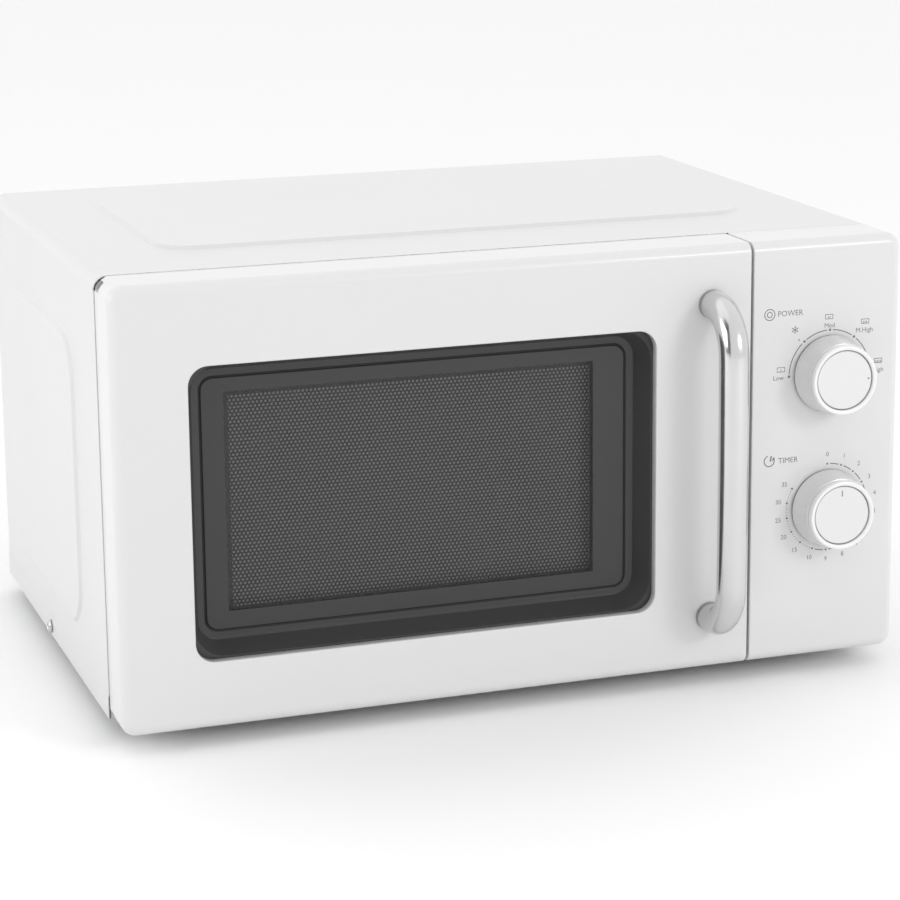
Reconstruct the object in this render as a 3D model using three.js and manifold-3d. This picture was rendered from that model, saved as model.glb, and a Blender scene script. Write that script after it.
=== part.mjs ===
// Countertop microwave oven with two rotary dials and a side-hinged door.
// Units are millimetres and +Z is up. The origin is at the bottom centre of the whole object's box:
// on the floor under the feet, in the middle of the width and of the depth from the handle to the rear.
//
// Inside the cabinet group every piece is placed from one corner: x from the left side of the cabinet,
// y back from the front face of the door, z up from the underside of the cabinet.

import * as THREE from 'three';
import * as BufferGeometryUtils from 'three/addons/utils/BufferGeometryUtils.js';
import Module from 'manifold-3d';

const wasm = await Module();
wasm.setup();

// ---------------------------------------------------------------- driving dimensions

const width = 452;             // outer width of the cabinet
const height = 242;            // height of the cabinet without its feet
const depth = 332;             // front face of the door to the rear edge of the cover
const fit = 0.3;               // clearance between pieces that seat on each other

const sheet = 1;               // gauge of every steel sheet
const cornerRadius = 8;        // rounding of the long edges of the cabinet
const frontEdgeRadius = 6;     // rounding round the front face

const slab = { depth: 35, seam: 1.2, wall: 2.5, face: 3, panelWidth: 91, split: 1.5 };
const cavity = { left: 20, right: 29.5, bottom: 20.5, top: 19.5, rear: 8.5 };
const base = { flange: 12, rearInset: 2 };
const foot = { height: 11, topRadius: 12, tipRadius: 10, stud: 3, studHeight: 4,
  sideInset: 50, frontInset: 65, rearInset: 32 };
const caseScrew = { y: 195, z: 5, headRadius: 4, head: 2, shank: 1.7, length: 6 };

const opening = { left: 40.2, right: 56, bottom: 36.6, top: 44.1, radius: 11.5, lip: 5.5, lipWall: 2 };
const screen = { flange: 6, sheet: 2, floorDepth: 20.5, floorInset: 6.7, mouthInset: 1.3, radius: 8 };
const pan = { inset: 5, right: 14.5, rise: 7.5, depth: 6.4, short: 0.6 };
const film = { thickness: 0.4, margin: 5 };
const chokeCover = { thickness: 1.9, band: 38 };
const boss = { side: 8, inset: 16 };

const hinge = { x: 8, fromRear: 13, arm: 2, z: 4, pin: 2, pinLength: 9, play: 0.4, boss: 5,
  notch: 10, plate: 2, plateWidth: 14, plateHeight: 16, rearChamfer: 3.5 };
const hook = { right: 4.5, width: 7, thickness: 7, fromRear: 4, bottom: 50, top: 47, stem: 5, reach: 14.8,
  tip: 6, drop: 6, lift: 4, offset: 25, stemHeight: 8, guide: 10 };
const spring = { radius: 2, wire: 0.35, turns: 6, length: 22, peg: 1.2 };
const handle = { tube: 8.5, inset: 23.5, bottom: 31, span: 178.5, standOff: 28.7, bend: 24, bow: 1.3 };
const handleScrew = { shank: 2, head: 4.5, headThickness: 2.5, intoTube: 12 };

const dial = { fromRight: 44, powerFromTop: 77, spacing: 77.6, hole: 5 };
const knob = { base: 22, face: 20.3, height: 20, gap: 0.8, wall: 2, ring: 2.8, recess: 1.2, bossWall: 2.7 };
const cap = { gap: 0.5, thickness: 1 };
const shaft = { radius: 3, into: 14, outTo: 14 };
const timerUnit = { side: 55, depth: 28 };
const bell = { radius: 11, height: 9, wall: 1.2 };
const selector = { side: 50, depth: 22 };

const interlock = { width: 14, depth: 22, wall: 2, end: 8 };
const microswitch = { thickness: 10, depth: 16, length: 28, fromFront: 3, hole: 1.6 };

const waveguide = { depth: 20, setBack: 0.6, tail: 20, height: 70, port: 36, portHeight: 56, portInset: 6 };
const mica = { thickness: 0.5, margin: 8 };
const magnetron = { length: 60, depth: 80, height: 60, fromTop: 37, wall: 2, anode: 17, fins: 5,
  fin: 1.2, antenna: 7, antennaLength: 14, filterLength: 26 };
const transformer = { width: 88, height: 74, stack: 52, fromCavity: 13, y: 105,
  leg: 14.5, coil: 12, primary: 19, secondary: 17 };
const capacitor = { length: 92, depth: 35, height: 54, gap: 18 };
const diode = { radius: 4, length: 30 };
const fan = { hub: 9, blades: 5, bladeDepth: 16, bladeTilt: 32, blade: 1.5, shaft: 2, play: 0.5,
  frame: 7, wall: 2, plateFromRear: 27, ring: 15, tipGap: 3, bar: 16, barDepth: 5,
  motor: 50, motorDepth: 24, topClear: 24, sideClear: 6, cavityClear: 9 };
const lamp = { side: 22, depth: 18, port: 7 };
const filterBoard = { width: 50, height: 50, thickness: 1.6, coil: 9, coilLength: 14, belowFan: 8 };
const gland = { fromRight: 27, z: 30, flange: 11, body: 7.5, bore: 3.5, flangeThickness: 1.5, length: 8 };

const turntable = { wallGap: 20.5, motorRadius: 24.5, shaft: 2.5, shaftLength: 6, hubGap: 1, hub: 6,
  lobe: 14, lobeWidth: 6, lobeHeight: 5 };
const tray = { glass: 4, rim: 14, flat: 14, lug: 2 };
const roller = { radius: 6.5, thickness: 5, trackInset: 22, ringWidth: 5, ringHeight: 3.6,
  axle: 1.3, play: 0.4, stop: 2.4 };
const slots = { count: 9, width: 34, height: 3.2, pitch: 8, gap: 8, rise: 16, inset: 14 };

// ---------------------------------------------------------------- worked-out places

const doorWidth = width - slab.panelWidth - slab.split;
const panelLeft = width - slab.panelWidth;
const plateY = slab.depth + slab.seam;                 // front of the steel front plate
const plateBack = plateY + sheet;
const rearY = depth - base.rearInset;                  // outer face of the back panel
const cavityX = [cavity.left, doorWidth - cavity.right];
const cavityY = [plateBack + fit, depth - cavity.rear];
const cavityZ = [cavity.bottom, height - cavity.top];
const bayLeft = cavityX[1] + sheet;                    // the electronics bay starts at this wall
const dialX = width - dial.fromRight;
const powerZ = height - dial.powerFromTop;
const timerZ = powerZ - dial.spacing;
const hookX = [doorWidth - hook.right - hook.width, doorWidth - hook.right];
const hookY = [slab.depth - hook.fromRear - hook.thickness, slab.depth - hook.fromRear];
const hookMid = (hookX[0] + hookX[1]) / 2;
const hookTop = height - hook.top;
const hookLevels = [hook.bottom + hook.offset, hookTop - hook.offset];
const centre = [(cavityX[0] + cavityX[1]) / 2, (cavityY[0] + cavityY[1]) / 2];
const cavitySide = Math.min(cavityX[1] - cavityX[0], cavityY[1] - cavityY[0]);
const trayRadius = cavitySide / 2 - turntable.wallGap;
const trackRadius = trayRadius - roller.trackInset;
const wheelZ = cavityZ[0] + fit + roller.radius;
const trayZ = wheelZ + roller.radius + fit;
const handleX = doorWidth - handle.inset;
const handleReach = handle.standOff + handle.bow + handle.tube;
const hingeY = slab.depth - hinge.fromRear;
const panY = [slab.depth - pan.short - pan.depth, slab.depth - pan.short];
const knobRingInner = knob.face - knob.ring;

// ---------------------------------------------------------------- making and cutting solids

const ROUND = 28;              // facets of a round piece
const CORNER = 5;              // facets of a rounded corner

function solid(geometry) {
  const bare = geometry.index ? geometry.toNonIndexed() : geometry.clone();
  bare.deleteAttribute('normal');
  bare.deleteAttribute('uv');
  const merged = BufferGeometryUtils.mergeVertices(bare, 1e-4);
  const mesh = new wasm.Mesh({ numProp: 3,
    vertProperties: new Float32Array(merged.attributes.position.array),
    triVerts: new Uint32Array(merged.index.array) });
  return new wasm.Manifold(mesh);
}

function geometryOf(body) {
  const mesh = body.getMesh();
  const geometry = new THREE.BufferGeometry();
  geometry.setAttribute('position', new THREE.BufferAttribute(mesh.vertProperties, 3));
  geometry.setIndex(new THREE.BufferAttribute(mesh.triVerts, 1));
  return geometry;
}

const join = (first, ...rest) => rest.reduce((whole, piece) => whole.add(piece), first);
const cut = (first, ...rest) => rest.reduce((whole, piece) => whole.subtract(piece), first);

function block([x0, x1], [y0, y1], [z0, z1]) {
  const geometry = new THREE.BoxGeometry(x1 - x0, y1 - y0, z1 - z0);
  return solid(geometry.translate((x0 + x1) / 2, (y0 + y1) / 2, (z0 + z1) / 2));
}

// A round bar along one axis, given the two coordinates of its centre line in order.
function bar(axis, radius, [from, to], [u, v], facets = ROUND) {
  const geometry = new THREE.CylinderGeometry(radius, radius, to - from, facets);
  const middle = (from + to) / 2;
  if (axis === 'x') geometry.rotateZ(-Math.PI / 2).translate(middle, u, v);
  if (axis === 'y') geometry.translate(u, middle, v);
  if (axis === 'z') geometry.rotateX(Math.PI / 2).translate(u, v, middle);
  return solid(geometry);
}

// A turned piece round an axis that points towards the front (-Y) or up (+Z); the profile is
// [radius, height] pairs.
function turned(axis, profile, facets = ROUND) {
  const points = profile.map(([radius, level]) => new THREE.Vector2(radius, level));
  const geometry = new THREE.LatheGeometry(points, facets);
  if (axis === 'front') geometry.rotateX(Math.PI);
  if (axis === 'up') geometry.rotateX(Math.PI / 2);
  return solid(geometry);
}

// A rectangle with its own rounding at each corner: left-bottom, right-bottom, right-top, left-top.
function roundedRectangle([x0, x1], [y0, y1], radii) {
  const [a, b, c, d] = Array.isArray(radii) ? radii : [radii, radii, radii, radii];
  const shape = new THREE.Shape();
  shape.moveTo(x0 + a, y0);
  shape.lineTo(x1 - b, y0);
  if (b) shape.absarc(x1 - b, y0 + b, b, -Math.PI / 2, 0);
  shape.lineTo(x1, y1 - c);
  if (c) shape.absarc(x1 - c, y1 - c, c, 0, Math.PI / 2);
  shape.lineTo(x0 + d, y1);
  if (d) shape.absarc(x0 + d, y1 - d, d, Math.PI / 2, Math.PI);
  shape.lineTo(x0, y0 + a);
  if (a) shape.absarc(x0 + a, y0 + a, a, Math.PI, Math.PI * 1.5);
  return shape;
}

function extrude(shape, length, facets = CORNER) {
  return new THREE.ExtrudeGeometry(shape, { depth: length, bevelEnabled: false, curveSegments: facets });
}

// Outlines drawn in the x-z plane run back along y; x-y outlines run up; y-z outlines run along x.
function alongY(shape, [y0, y1]) {
  return solid(extrude(shape, y1 - y0).rotateX(Math.PI / 2).translate(0, y1, 0));
}
function alongZ(shape, [z0, z1]) {
  return solid(extrude(shape, z1 - z0).translate(0, 0, z0));
}
function alongX(shape, [x0, x1]) {
  const geometry = extrude(shape, x1 - x0);
  return solid(geometry.rotateX(Math.PI / 2).rotateZ(Math.PI / 2).translate(x0, 0, 0));
}

const polygon = points => new THREE.Shape(points.map(([x, y]) => new THREE.Vector2(x, y)));

const finishes = {
  whiteSteel: [0xf1f2f3, 0.42, 0], whitePlastic: [0xeceeef, 0.38, 0], greyPlastic: [0xc9cccf, 0.45, 0],
  darkPlastic: [0x3a3c3f, 0.5, 0], smoke: [0x2b2d30, 0.2, 0], clear: [0xdfe6e8, 0.1, 0],
  zinc: [0xb9bdc0, 0.4, 0.9], chrome: [0xd4d6d8, 0.18, 1], iron: [0x6f6a66, 0.6, 0.8],
  copper: [0xa4552c, 0.45, 0.8], rubber: [0x26272a, 0.8, 0], silver: [0xcfd2d5, 0.35, 0.3],
  mica: [0xb9a98c, 0.7, 0], aluminium: [0xc4c8cb, 0.35, 1], board: [0x2f6b3f, 0.6, 0],
};

function add(group, name, body, finish) {
  const [color, roughness, metalness] = finishes[finish];
  const material = new THREE.MeshStandardMaterial({ color, roughness, metalness });
  const mesh = new THREE.Mesh(geometryOf(body), material);
  mesh.name = name;
  group.add(mesh);
  return mesh;
}

// ---------------------------------------------------------------- the groups

const microwave = new THREE.Group();
const cabinet = new THREE.Group();
cabinet.position.set(-width / 2, handleReach - (depth + handleReach) / 2, foot.height);
microwave.add(cabinet);

const door = new THREE.Group();
const controls = new THREE.Group();
const turningTray = new THREE.Group();
const electronics = new THREE.Group();
cabinet.add(door, controls, turningTray, electronics);

// ---------------------------------------------------------------- cabinet

const inside = sheet + fit;    // how far a sheet under the cover lies in from the outside

function cabinetOutline(inset, bottom) {
  const r = cornerRadius - inset;
  return roundedRectangle([inset, width - inset], [bottom, height - inset], [0, 0, r, r]);
}

function outerCover() {
  const wrap = alongY(cabinetOutline(0, 0), [plateY, depth]);
  const hollow = alongY(cabinetOutline(sheet, -1), [plateY - 1, depth + 1]);
  const holes = bar('x', caseScrew.shank + fit, [-1, width + 1], [caseScrew.y, caseScrew.z], 16);
  return cut(wrap, hollow, holes);
}

function basePlate() {
  const x = [inside, width - inside];
  const y = [plateBack + fit, rearY - sheet - fit];
  const pressed = block(x, y, [0, base.flange]);
  const hollow = block([x[0] + sheet, x[1] - sheet], [y[0] - 1, y[1] - sheet], [sheet, base.flange + 1]);
  const holes = bar('x', caseScrew.shank + fit, [-1, width + 1], [caseScrew.y, caseScrew.z], 16);
  const studs = footPlaces().map(place => bar('z', foot.stud + fit, [-1, sheet + 1], place, 20));
  return cut(pressed, hollow, holes, ...studs);
}

function footPlaces() {
  const sides = [foot.sideInset, width - foot.sideInset];
  return sides.flatMap(x => [[x, foot.frontInset], [x, depth - foot.rearInset]]);
}

function ventSlots(x, z, y) {
  const rows = [...Array(slots.count).keys()].map(i => z + i * slots.pitch);
  return rows.map(level => block([x, x + slots.width], y, [level, level + slots.height]));
}

function backPanel() {
  const y = [rearY - sheet, rearY];
  const through = [y[0] - 1, y[1] + 1];
  const fanSlots = [-1, 1].flatMap(side => {
    const middle = fanX + side * (slots.width / 2 + slots.gap / 2);
    return ventSlots(middle - slots.width / 2, shroudZ[0] + slots.rise, through);
  });
  const exhaust = ventSlots(cavityX[0] + slots.inset, shroudZ[0] + slots.rise, through);
  const cordHole = bar('y', gland.body + fit, through, [width - gland.fromRight, gland.z]);
  return cut(alongY(cabinetOutline(inside, 0), y), ...fanSlots, ...exhaust, cordHole);
}

function cavityShell() {
  const outer = block([cavityX[0] - sheet, cavityX[1] + sheet], [cavityY[0], cavityY[1] + sheet],
    [cavityZ[0] - sheet, cavityZ[1] + sheet]);
  const inner = block(cavityX, [cavityY[0] - 1, cavityY[1]], cavityZ);
  const hole = turntable.hub + turntable.hubGap;
  const shaftHole = bar('z', hole, [cavityZ[0] - 2, cavityZ[0] + 1], centre);
  const port = block([cavityX[1] - 1, bayLeft + 1], portY, portZ);
  const lampMiddle = [lampY + lamp.side / 2, lampZ + lamp.side / 2];
  const lampHole = bar('x', lamp.port, [cavityX[1] - 1, bayLeft + 1], lampMiddle);
  return cut(outer, inner, shaftHole, port, lampHole);
}

function frontPlate() {
  const y = [plateY, plateBack];
  const through = [y[0] - 1, y[1] + 1];
  const slotX = [hookMid - hook.stem / 2 - 1.5, hookMid + hook.stem / 2 + 2.5];
  const slot = hookLevels.map(z => block(slotX, through,
    [z - hook.drop - 2, z + hook.stemHeight + hook.lift + 2]));
  const arms = armLevels.map(z => block([hingeArm[0] - fit, hingeArm[1] + fit], through,
    [z - hingeGap, z + hinge.arm + hingeGap]));
  return cut(alongY(cabinetOutline(inside, 0), y), block(cavityX, through, cavityZ), ...slot, ...arms);
}

function rubberFoot() {
  return turned('up', [[0, -foot.height], [foot.tipRadius, -foot.height], [foot.topRadius, -fit],
    [foot.stud, -fit], [foot.stud, foot.studHeight], [0, foot.studHeight]], 24);
}

function screw(headRadius, head, shank, length) {
  return turned('up', [[0, -length], [shank, -length], [shank, 0], [headRadius, 0],
    [headRadius, head * 0.5], [headRadius * 0.6, head], [0, head]], 16);
}

// ---------------------------------------------------------------- door hinges

const hingeGap = 0.6;
const armLevels = [hinge.z, height - hinge.z - hinge.arm];
const hingeArm = [hinge.x + 6, hinge.x + 10.5];

// A flat goose-neck arm on a small plate behind the front plate, with an upright pin. The neck
// reaches round the rear edge of the door's side wall, so the door opens past a right angle.
function hingePlate(level, up) {
  const [x, y] = [hinge.x, hingeY];
  const fixingY = [plateBack + fit, plateBack + fit + hinge.plate];
  const neck = polygon([[x, y - 3], [x + 8, y - 0.5], [x + 10.5, y + 2], [x + 10.5, fixingY[1]],
    [x + 6, fixingY[1]], [x + 6, y + 5], [x + 4, y + 3.5], [x, y + 3]]);
  const armZ = [level, level + hinge.arm];
  const arm = join(alongZ(neck, armZ), bar('z', hinge.pin * 2, armZ, [x, y]));
  const pinZ = up ? [level + 1, armZ[1] + hinge.pinLength] : [level - hinge.pinLength, level + 1];
  const plateBottom = up ? sheet + fit : armZ[1] - hinge.plateHeight;
  const plateZ = [plateBottom, plateBottom + hinge.plateHeight];
  const plateX = [cavityX[0] - sheet - fit - hinge.plateWidth, cavityX[0] - sheet - fit];
  return join(arm, bar('z', hinge.pin, pinZ, [x, y], 16), block(plateX, fixingY, plateZ));
}

// ---------------------------------------------------------------- door

const slabZ = [0, height];

// The front slab is a moulding with its outer edges rounded. The outline from the front, the plan and
// the side view are extruded and intersected; only the outer side of each half is rounded.
function slabBody(x, thickness, roundLeft, rearChamfer) {
  const far = 20;
  const r = frontEdgeRadius;
  const c = cornerRadius;
  const front = roundedRectangle(x, slabZ, roundLeft ? [c, 0, 0, c] : [0, c, c, 0]);
  const plan = roundedRectangle(x, [0, thickness + far], roundLeft ? [r, 0, 0, 0] : [0, r, 0, 0]);
  const side = roundedRectangle([0, thickness + far], slabZ, [r, 0, 0, r]);
  const raw = alongY(front, [0, thickness]);
  const planned = raw.intersect(alongZ(plan, [slabZ[0] - 1, slabZ[1] + 1]));
  const body = planned.intersect(alongX(side, [x[0] - 1, x[1] + 1]));
  if (!rearChamfer) return body;
  const corner = polygon([[x[0] - 1, thickness - rearChamfer - 1], [x[0] + rearChamfer + 1, thickness + 1],
    [x[0] - 1, thickness + 1]]);
  return cut(body, alongZ(corner, [slabZ[0] - 1, slabZ[1] + 1]));
}

const openingX = [opening.left, doorWidth - opening.right];
const openingZ = [opening.bottom, height - opening.top];
const grow = ([from, to], by) => [from - by, to + by];
const panX = [pan.inset, doorWidth - pan.right];
const panZ = [pan.rise, height - pan.rise];

function doorFrame() {
  const pocketY = [slab.face, slab.depth + 1];
  const pocket = block(grow([0, doorWidth], -slab.wall), pocketY, grow(slabZ, -slab.wall));
  const lip = alongY(roundedRectangle(grow(openingX, opening.lipWall), grow(openingZ, opening.lipWall),
    opening.radius + opening.lipWall), [slab.face - 1, opening.lip]);
  const window = alongY(roundedRectangle(openingX, openingZ, opening.radius), [-1, opening.lip + 1]);
  const notchY = [slab.depth - hinge.notch, slab.depth + 1];
  const notches = armLevels.map(z => block([-1, slab.wall + 1], notchY,
    [z - hingeGap, z + hinge.arm + hingeGap]));
  const above = [armLevels[0] + hinge.arm + 1, armLevels[0] + hinge.arm + 1 + hinge.pinLength];
  const below = [armLevels[1] - 1 - hinge.pinLength, armLevels[1] - 1];
  const pinBosses = [above, below].map(level => {
    const round = bar('z', hinge.boss, level, [hinge.x, hingeY]);
    const web = block([slab.wall - 1, hinge.x], [hingeY - hinge.boss, hingeY + hinge.boss], level);
    return cut(join(round, web), bar('z', hinge.pin + hinge.play, grow(level, 1), [hinge.x, hingeY], 16));
  });
  const postX = [panX[0] + boss.inset, panX[1] - boss.inset - boss.side];
  const postZ = [panZ[0] + 4, panZ[1] - 4 - boss.side];
  const posts = postX.flatMap(x => postZ.map(z =>
    block([x, x + boss.side], [slab.face - 1, panY[0] - fit], [z, z + boss.side])));
  const guides = hookLevels.map(z => block([hookX[0], doorWidth - slab.wall + 1],
    [slab.face - 1, hookY[0] - fit], [z - hook.guide, z]));
  const screwHole = handleScrew.shank + fit;
  const screwHoles = handleEnds.map(z => bar('y', screwHole, [-1, slab.face + 1], [handleX, z], 16));
  const body = slabBody([0, doorWidth], slab.depth, true, hinge.rearChamfer);
  const shell = join(cut(body, pocket), lip);
  return cut(join(cut(shell, ...notches), ...pinBosses, ...posts, ...guides), window, ...screwHoles);
}

// A smoked tray: a flange behind the lip of the opening, sides that lean inwards, and a flat floor.
function doorScreen() {
  const flangeY = [opening.lip + fit, opening.lip + fit + screen.sheet];
  const run = screen.floorDepth - flangeY[0];
  const slope = screen.floorInset - screen.mouthInset;
  const dish = (inset, floor) => {
    const shape = roundedRectangle(grow(openingX, -screen.floorInset - inset),
      grow(openingZ, -screen.floorInset - inset), screen.radius - inset);
    const geometry = new THREE.ExtrudeGeometry(shape, { depth: 1, curveSegments: CORNER, bevelEnabled: true,
      bevelThickness: run, bevelSize: slope, bevelSegments: 1 });
    const body = solid(geometry.rotateX(Math.PI / 2).translate(0, floor, 0));
    const ahead = block([-width, 2 * width], [-2 * depth, flangeY[0] - inset * 0.5], [-height, 2 * height]);
    const behind = block([-width, 2 * width], [floor, depth], [-height, 2 * height]);
    return cut(body, ahead, behind);
  };
  const flange = alongY(roundedRectangle(grow(openingX, screen.flange), grow(openingZ, screen.flange),
    opening.radius), flangeY);
  const outer = join(flange, dish(0, screen.floorDepth + screen.sheet));
  return cut(outer, dish(screen.sheet, screen.floorDepth));
}

function doorPan() {
  const hollow = block(grow(panX, -sheet), [panY[0] + sheet, panY[1] + 1], grow(panZ, -sheet));
  return cut(block(panX, panY, panZ), hollow);
}

function doorFilm() {
  const y = panY[0] + sheet + fit;
  return block(grow(openingX, film.margin), [y, y + film.thickness], grow(openingZ, film.margin));
}

function doorChokeCover() {
  const y = [slab.depth - fit - chokeCover.thickness, slab.depth - fit];
  const outer = block(grow(panX, -sheet - fit), y, grow(panZ, -sheet - fit));
  const hole = roundedRectangle(grow(panX, -chokeCover.band), grow(panZ, -chokeCover.band), 10);
  return cut(outer, alongY(hole, grow(y, 1)));
}

const handleEnds = [handle.bottom, handle.bottom + handle.span];

// A bent tube: straight out of the door, a quarter bend, a bar that bows slightly, and back again.
function doorHandle() {
  const reach = -handle.standOff;
  const [low, high] = handleEnds;
  const path = new THREE.CurvePath();
  const at = (y, z) => new THREE.Vector3(handleX, y, z);
  const start = -fit;
  const bent = (...points) => path.add(new THREE.QuadraticBezierCurve3(...points));
  const turnIn = reach + handle.bend;
  const [firstBend, lastBend] = [low + handle.bend, high - handle.bend];
  path.add(new THREE.LineCurve3(at(start, low), at(turnIn, low)));
  bent(at(turnIn, low), at(reach, low), at(reach, firstBend));
  bent(at(reach, firstBend), at(reach - 2 * handle.bow, (low + high) / 2), at(reach, lastBend));
  bent(at(reach, lastBend), at(reach, high), at(turnIn, high));
  path.add(new THREE.LineCurve3(at(turnIn, high), at(start, high)));
  const section = new THREE.Shape();
  section.absarc(0, 0, handle.tube, 0, Math.PI * 2);
  const sweep = { steps: 34, curveSegments: 7, extrudePath: path };
  const tube = solid(new THREE.ExtrudeGeometry(section, sweep));
  const boreY = [-handleScrew.intoTube - 1, 1];
  const bores = handleEnds.map(z => bar('y', handleScrew.shank + fit, boreY, [handleX, z], 16));
  const trimmed = cut(tube, block([0, width], [start, depth], [0, height]));
  return cut(trimmed, ...bores);
}

function doorHook() {
  const bodyZ = [hook.bottom, hookTop];
  const stemX = [hookMid - hook.stem / 2, hookMid + hook.stem / 2];
  const end = plateBack + hook.reach;
  const heads = hookLevels.map(z => join(block(stemX, [hookY[1] - 1, end], [z, z + hook.stemHeight]),
    block(stemX, [end - hook.tip, end], [z - hook.drop, z + 1])));
  const peg = bar('x', spring.peg, [hookX[0] - 1, hookX[0] + 1], [pegY, pegZ], 12);
  return join(block(hookX, hookY, bodyZ), ...heads, peg);
}

const pegY = (hookY[0] + hookY[1]) / 2;
const pegZ = (hook.bottom + hookTop) / 2;

// A small tension spring below the peg, with a leg down to a hook on the door.
function hookSpring() {
  class Coil extends THREE.Curve {
    getPoint(t, target = new THREE.Vector3()) {
      const turn = t * spring.turns * Math.PI * 2;
      return target.set(spring.radius * Math.cos(turn), spring.radius * Math.sin(turn), -t * spring.length);
    }
  }
  const section = new THREE.Shape();
  section.absarc(0, 0, spring.wire, 0, Math.PI * 2);
  const geometry = new THREE.ExtrudeGeometry(section, { steps: spring.turns * 8, curveSegments: 3,
    extrudePath: new Coil() });
  const outer = spring.radius + spring.wire;
  return solid(geometry.translate(hookX[0] + outer, hookY[0] - fit - outer, pegZ));
}

// ---------------------------------------------------------------- control panel, dials and switches

function controlPanel() {
  const x = [panelLeft, width];
  const body = slabBody(x, plateY - fit, false, 0);
  const pocket = block(grow(x, -slab.wall), [slab.face, plateY], grow(slabZ, -slab.wall));
  const holes = [powerZ, timerZ].map(z => bar('y', dial.hole, [-1, slab.face + 1], [dialX, z]));
  return cut(body, pocket, ...holes);
}

// A tapered knob: hollow behind with a boss for the shaft, and a shallow recess in front for its cap.
function knobBody() {
  const k = knob;
  const rear = k.gap;
  const front = k.gap + k.height;
  const floor = front - k.recess - cap.thickness - fit;
  const roof = floor - k.wall;
  const bore = shaft.radius + fit;
  const inner = knobRingInner;
  return turned('front', [[0, roof], [bore, roof], [bore, rear + 1], [bore + k.bossWall, rear + 1],
    [bore + k.bossWall, roof], [k.face - k.wall - 0.6, roof], [k.base - k.wall, rear], [k.base, rear],
    [k.face, front - 0.8], [k.face - 0.8, front], [inner + 0.7, front], [inner, front - 1],
    [inner, floor], [0, floor]], 32);
}

function knobCap() {
  const front = knob.gap + knob.height - knob.recess;
  const radius = knobRingInner - cap.gap;
  return turned('front', [[0, front - cap.thickness], [radius, front - cap.thickness],
    [radius, front - 0.3], [radius - 0.3, front], [0, front]], 32);
}

function knobShaft() {
  const roof = knob.gap + knob.height - knob.recess - cap.thickness - fit - knob.wall;
  const end = Math.min(shaft.outTo, roof - 2 * fit);
  const round = turned('front', [[0, -shaft.into], [shaft.radius, -shaft.into], [shaft.radius, end],
    [0, end]], 20);
  const flat = block([-shaft.radius, shaft.radius], [-end - 1, -knob.gap - 1],
    [shaft.radius * 0.6, shaft.radius + 1]);
  return cut(round, flat);
}

function dialUnit(side, unitDepth, z) {
  const front = slab.face + fit;
  const half = side / 2;
  const body = block([dialX - half, dialX + half], [front, front + unitDepth], [z - half, z + half]);
  const collar = bar('y', dial.hole - fit, [slab.face - 1, front + 1], [dialX, z]);
  return cut(join(body, collar), bar('y', shaft.radius + fit, [-1, shaft.into + 1], [dialX, z], 20));
}

function timerBell() {
  const z = timerZ + timerUnit.side / 2 + fit + bell.radius;
  const profile = [[0, -bell.height], [bell.radius * 0.6, -bell.height], [bell.radius, -bell.height * 0.5],
    [bell.radius, 0], [bell.radius - bell.wall, 0], [bell.radius - bell.wall, -bell.height * 0.45],
    [bell.radius * 0.55, -bell.height + bell.wall], [0, -bell.height + bell.wall]];
  return turned('front', profile, 24).translate([dialX, slab.face + bell.height, z]);
}

const interlockLeft = hookX[0] - interlock.wall - 1;
const interlockX = [interlockLeft, interlockLeft + interlock.width];
const interlockY = [plateBack + fit, plateBack + fit + interlock.depth];

function interlockHousing() {
  const lowest = hookLevels[0] - hook.drop;
  const highest = hookLevels[1] + hook.stemHeight + hook.lift;
  const z = [lowest - interlock.end, highest + interlock.end];
  const hollowY = [interlockY[0] - 1, interlockY[1] - interlock.wall];
  const hollow = block(grow(interlockX, -interlock.wall), hollowY, grow(z, -interlock.wall));
  return cut(block(interlockX, interlockY, z), hollow);
}

function microswitchAt(z) {
  const x = interlockX[1] + fit;
  const y = interlockY[0] + microswitch.fromFront;
  const body = block([x, x + microswitch.thickness], [y, y + microswitch.depth],
    [z - microswitch.length / 2, z + microswitch.length / 2]);
  const holes = [-1, 1].map(side => bar('x', microswitch.hole, [x - 1, x + microswitch.thickness + 1],
    [y + microswitch.depth / 2 + side * 5, z + side * 11], 12));
  return cut(body, ...holes);
}

// ---------------------------------------------------------------- electronics bay

const shroudX = [bayLeft + fan.cavityClear, width - fan.sideClear];
const shroudSide = shroudX[1] - shroudX[0];
const shroudZ = [height - sheet - fan.topClear - shroudSide, height - sheet - fan.topClear];
const fanRadius = shroudSide / 2 - fan.frame - fan.tipGap;
const fanX = (shroudX[0] + shroudX[1]) / 2;
const fanZ = (shroudZ[0] + shroudZ[1]) / 2;
const shroudRear = rearY - sheet - fit;
const fanPlateY = shroudRear - fan.plateFromRear;
const barY = fanPlateY - fan.ring;
const motorY = [barY - fan.barDepth - fit - fan.motorDepth, barY - fan.barDepth - fit];
const lampY = motorY[0] - lamp.side;
const lampZ = cavityZ[1] - lamp.side - 10;
const magnetronLeft = bayLeft + fit + waveguide.depth + fit;
const magnetronX = [magnetronLeft, magnetronLeft + magnetron.length];
const magnetronY = [lampY - magnetron.depth - 6, lampY - 6];
const magnetronZ = [cavityZ[1] - magnetron.fromTop - magnetron.height, cavityZ[1] - magnetron.fromTop];
const antenna = [(magnetronY[0] + magnetronY[1]) / 2, (magnetronZ[0] + magnetronZ[1]) / 2];
// The closed end of the waveguide lies part of the way from the interlock back to the magnetron.
const guideFront = interlockY[1] + waveguide.setBack * (magnetronY[0] - interlockY[1]);
const guideY = [guideFront, antenna[0] + waveguide.tail];
const guideZ = [antenna[1] - waveguide.height / 2, antenna[1] + waveguide.height / 2];
const portY = [guideFront + waveguide.portInset, guideFront + waveguide.portInset + waveguide.port];
const portZ = [antenna[1] - waveguide.portHeight / 2, antenna[1] + waveguide.portHeight / 2];

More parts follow.
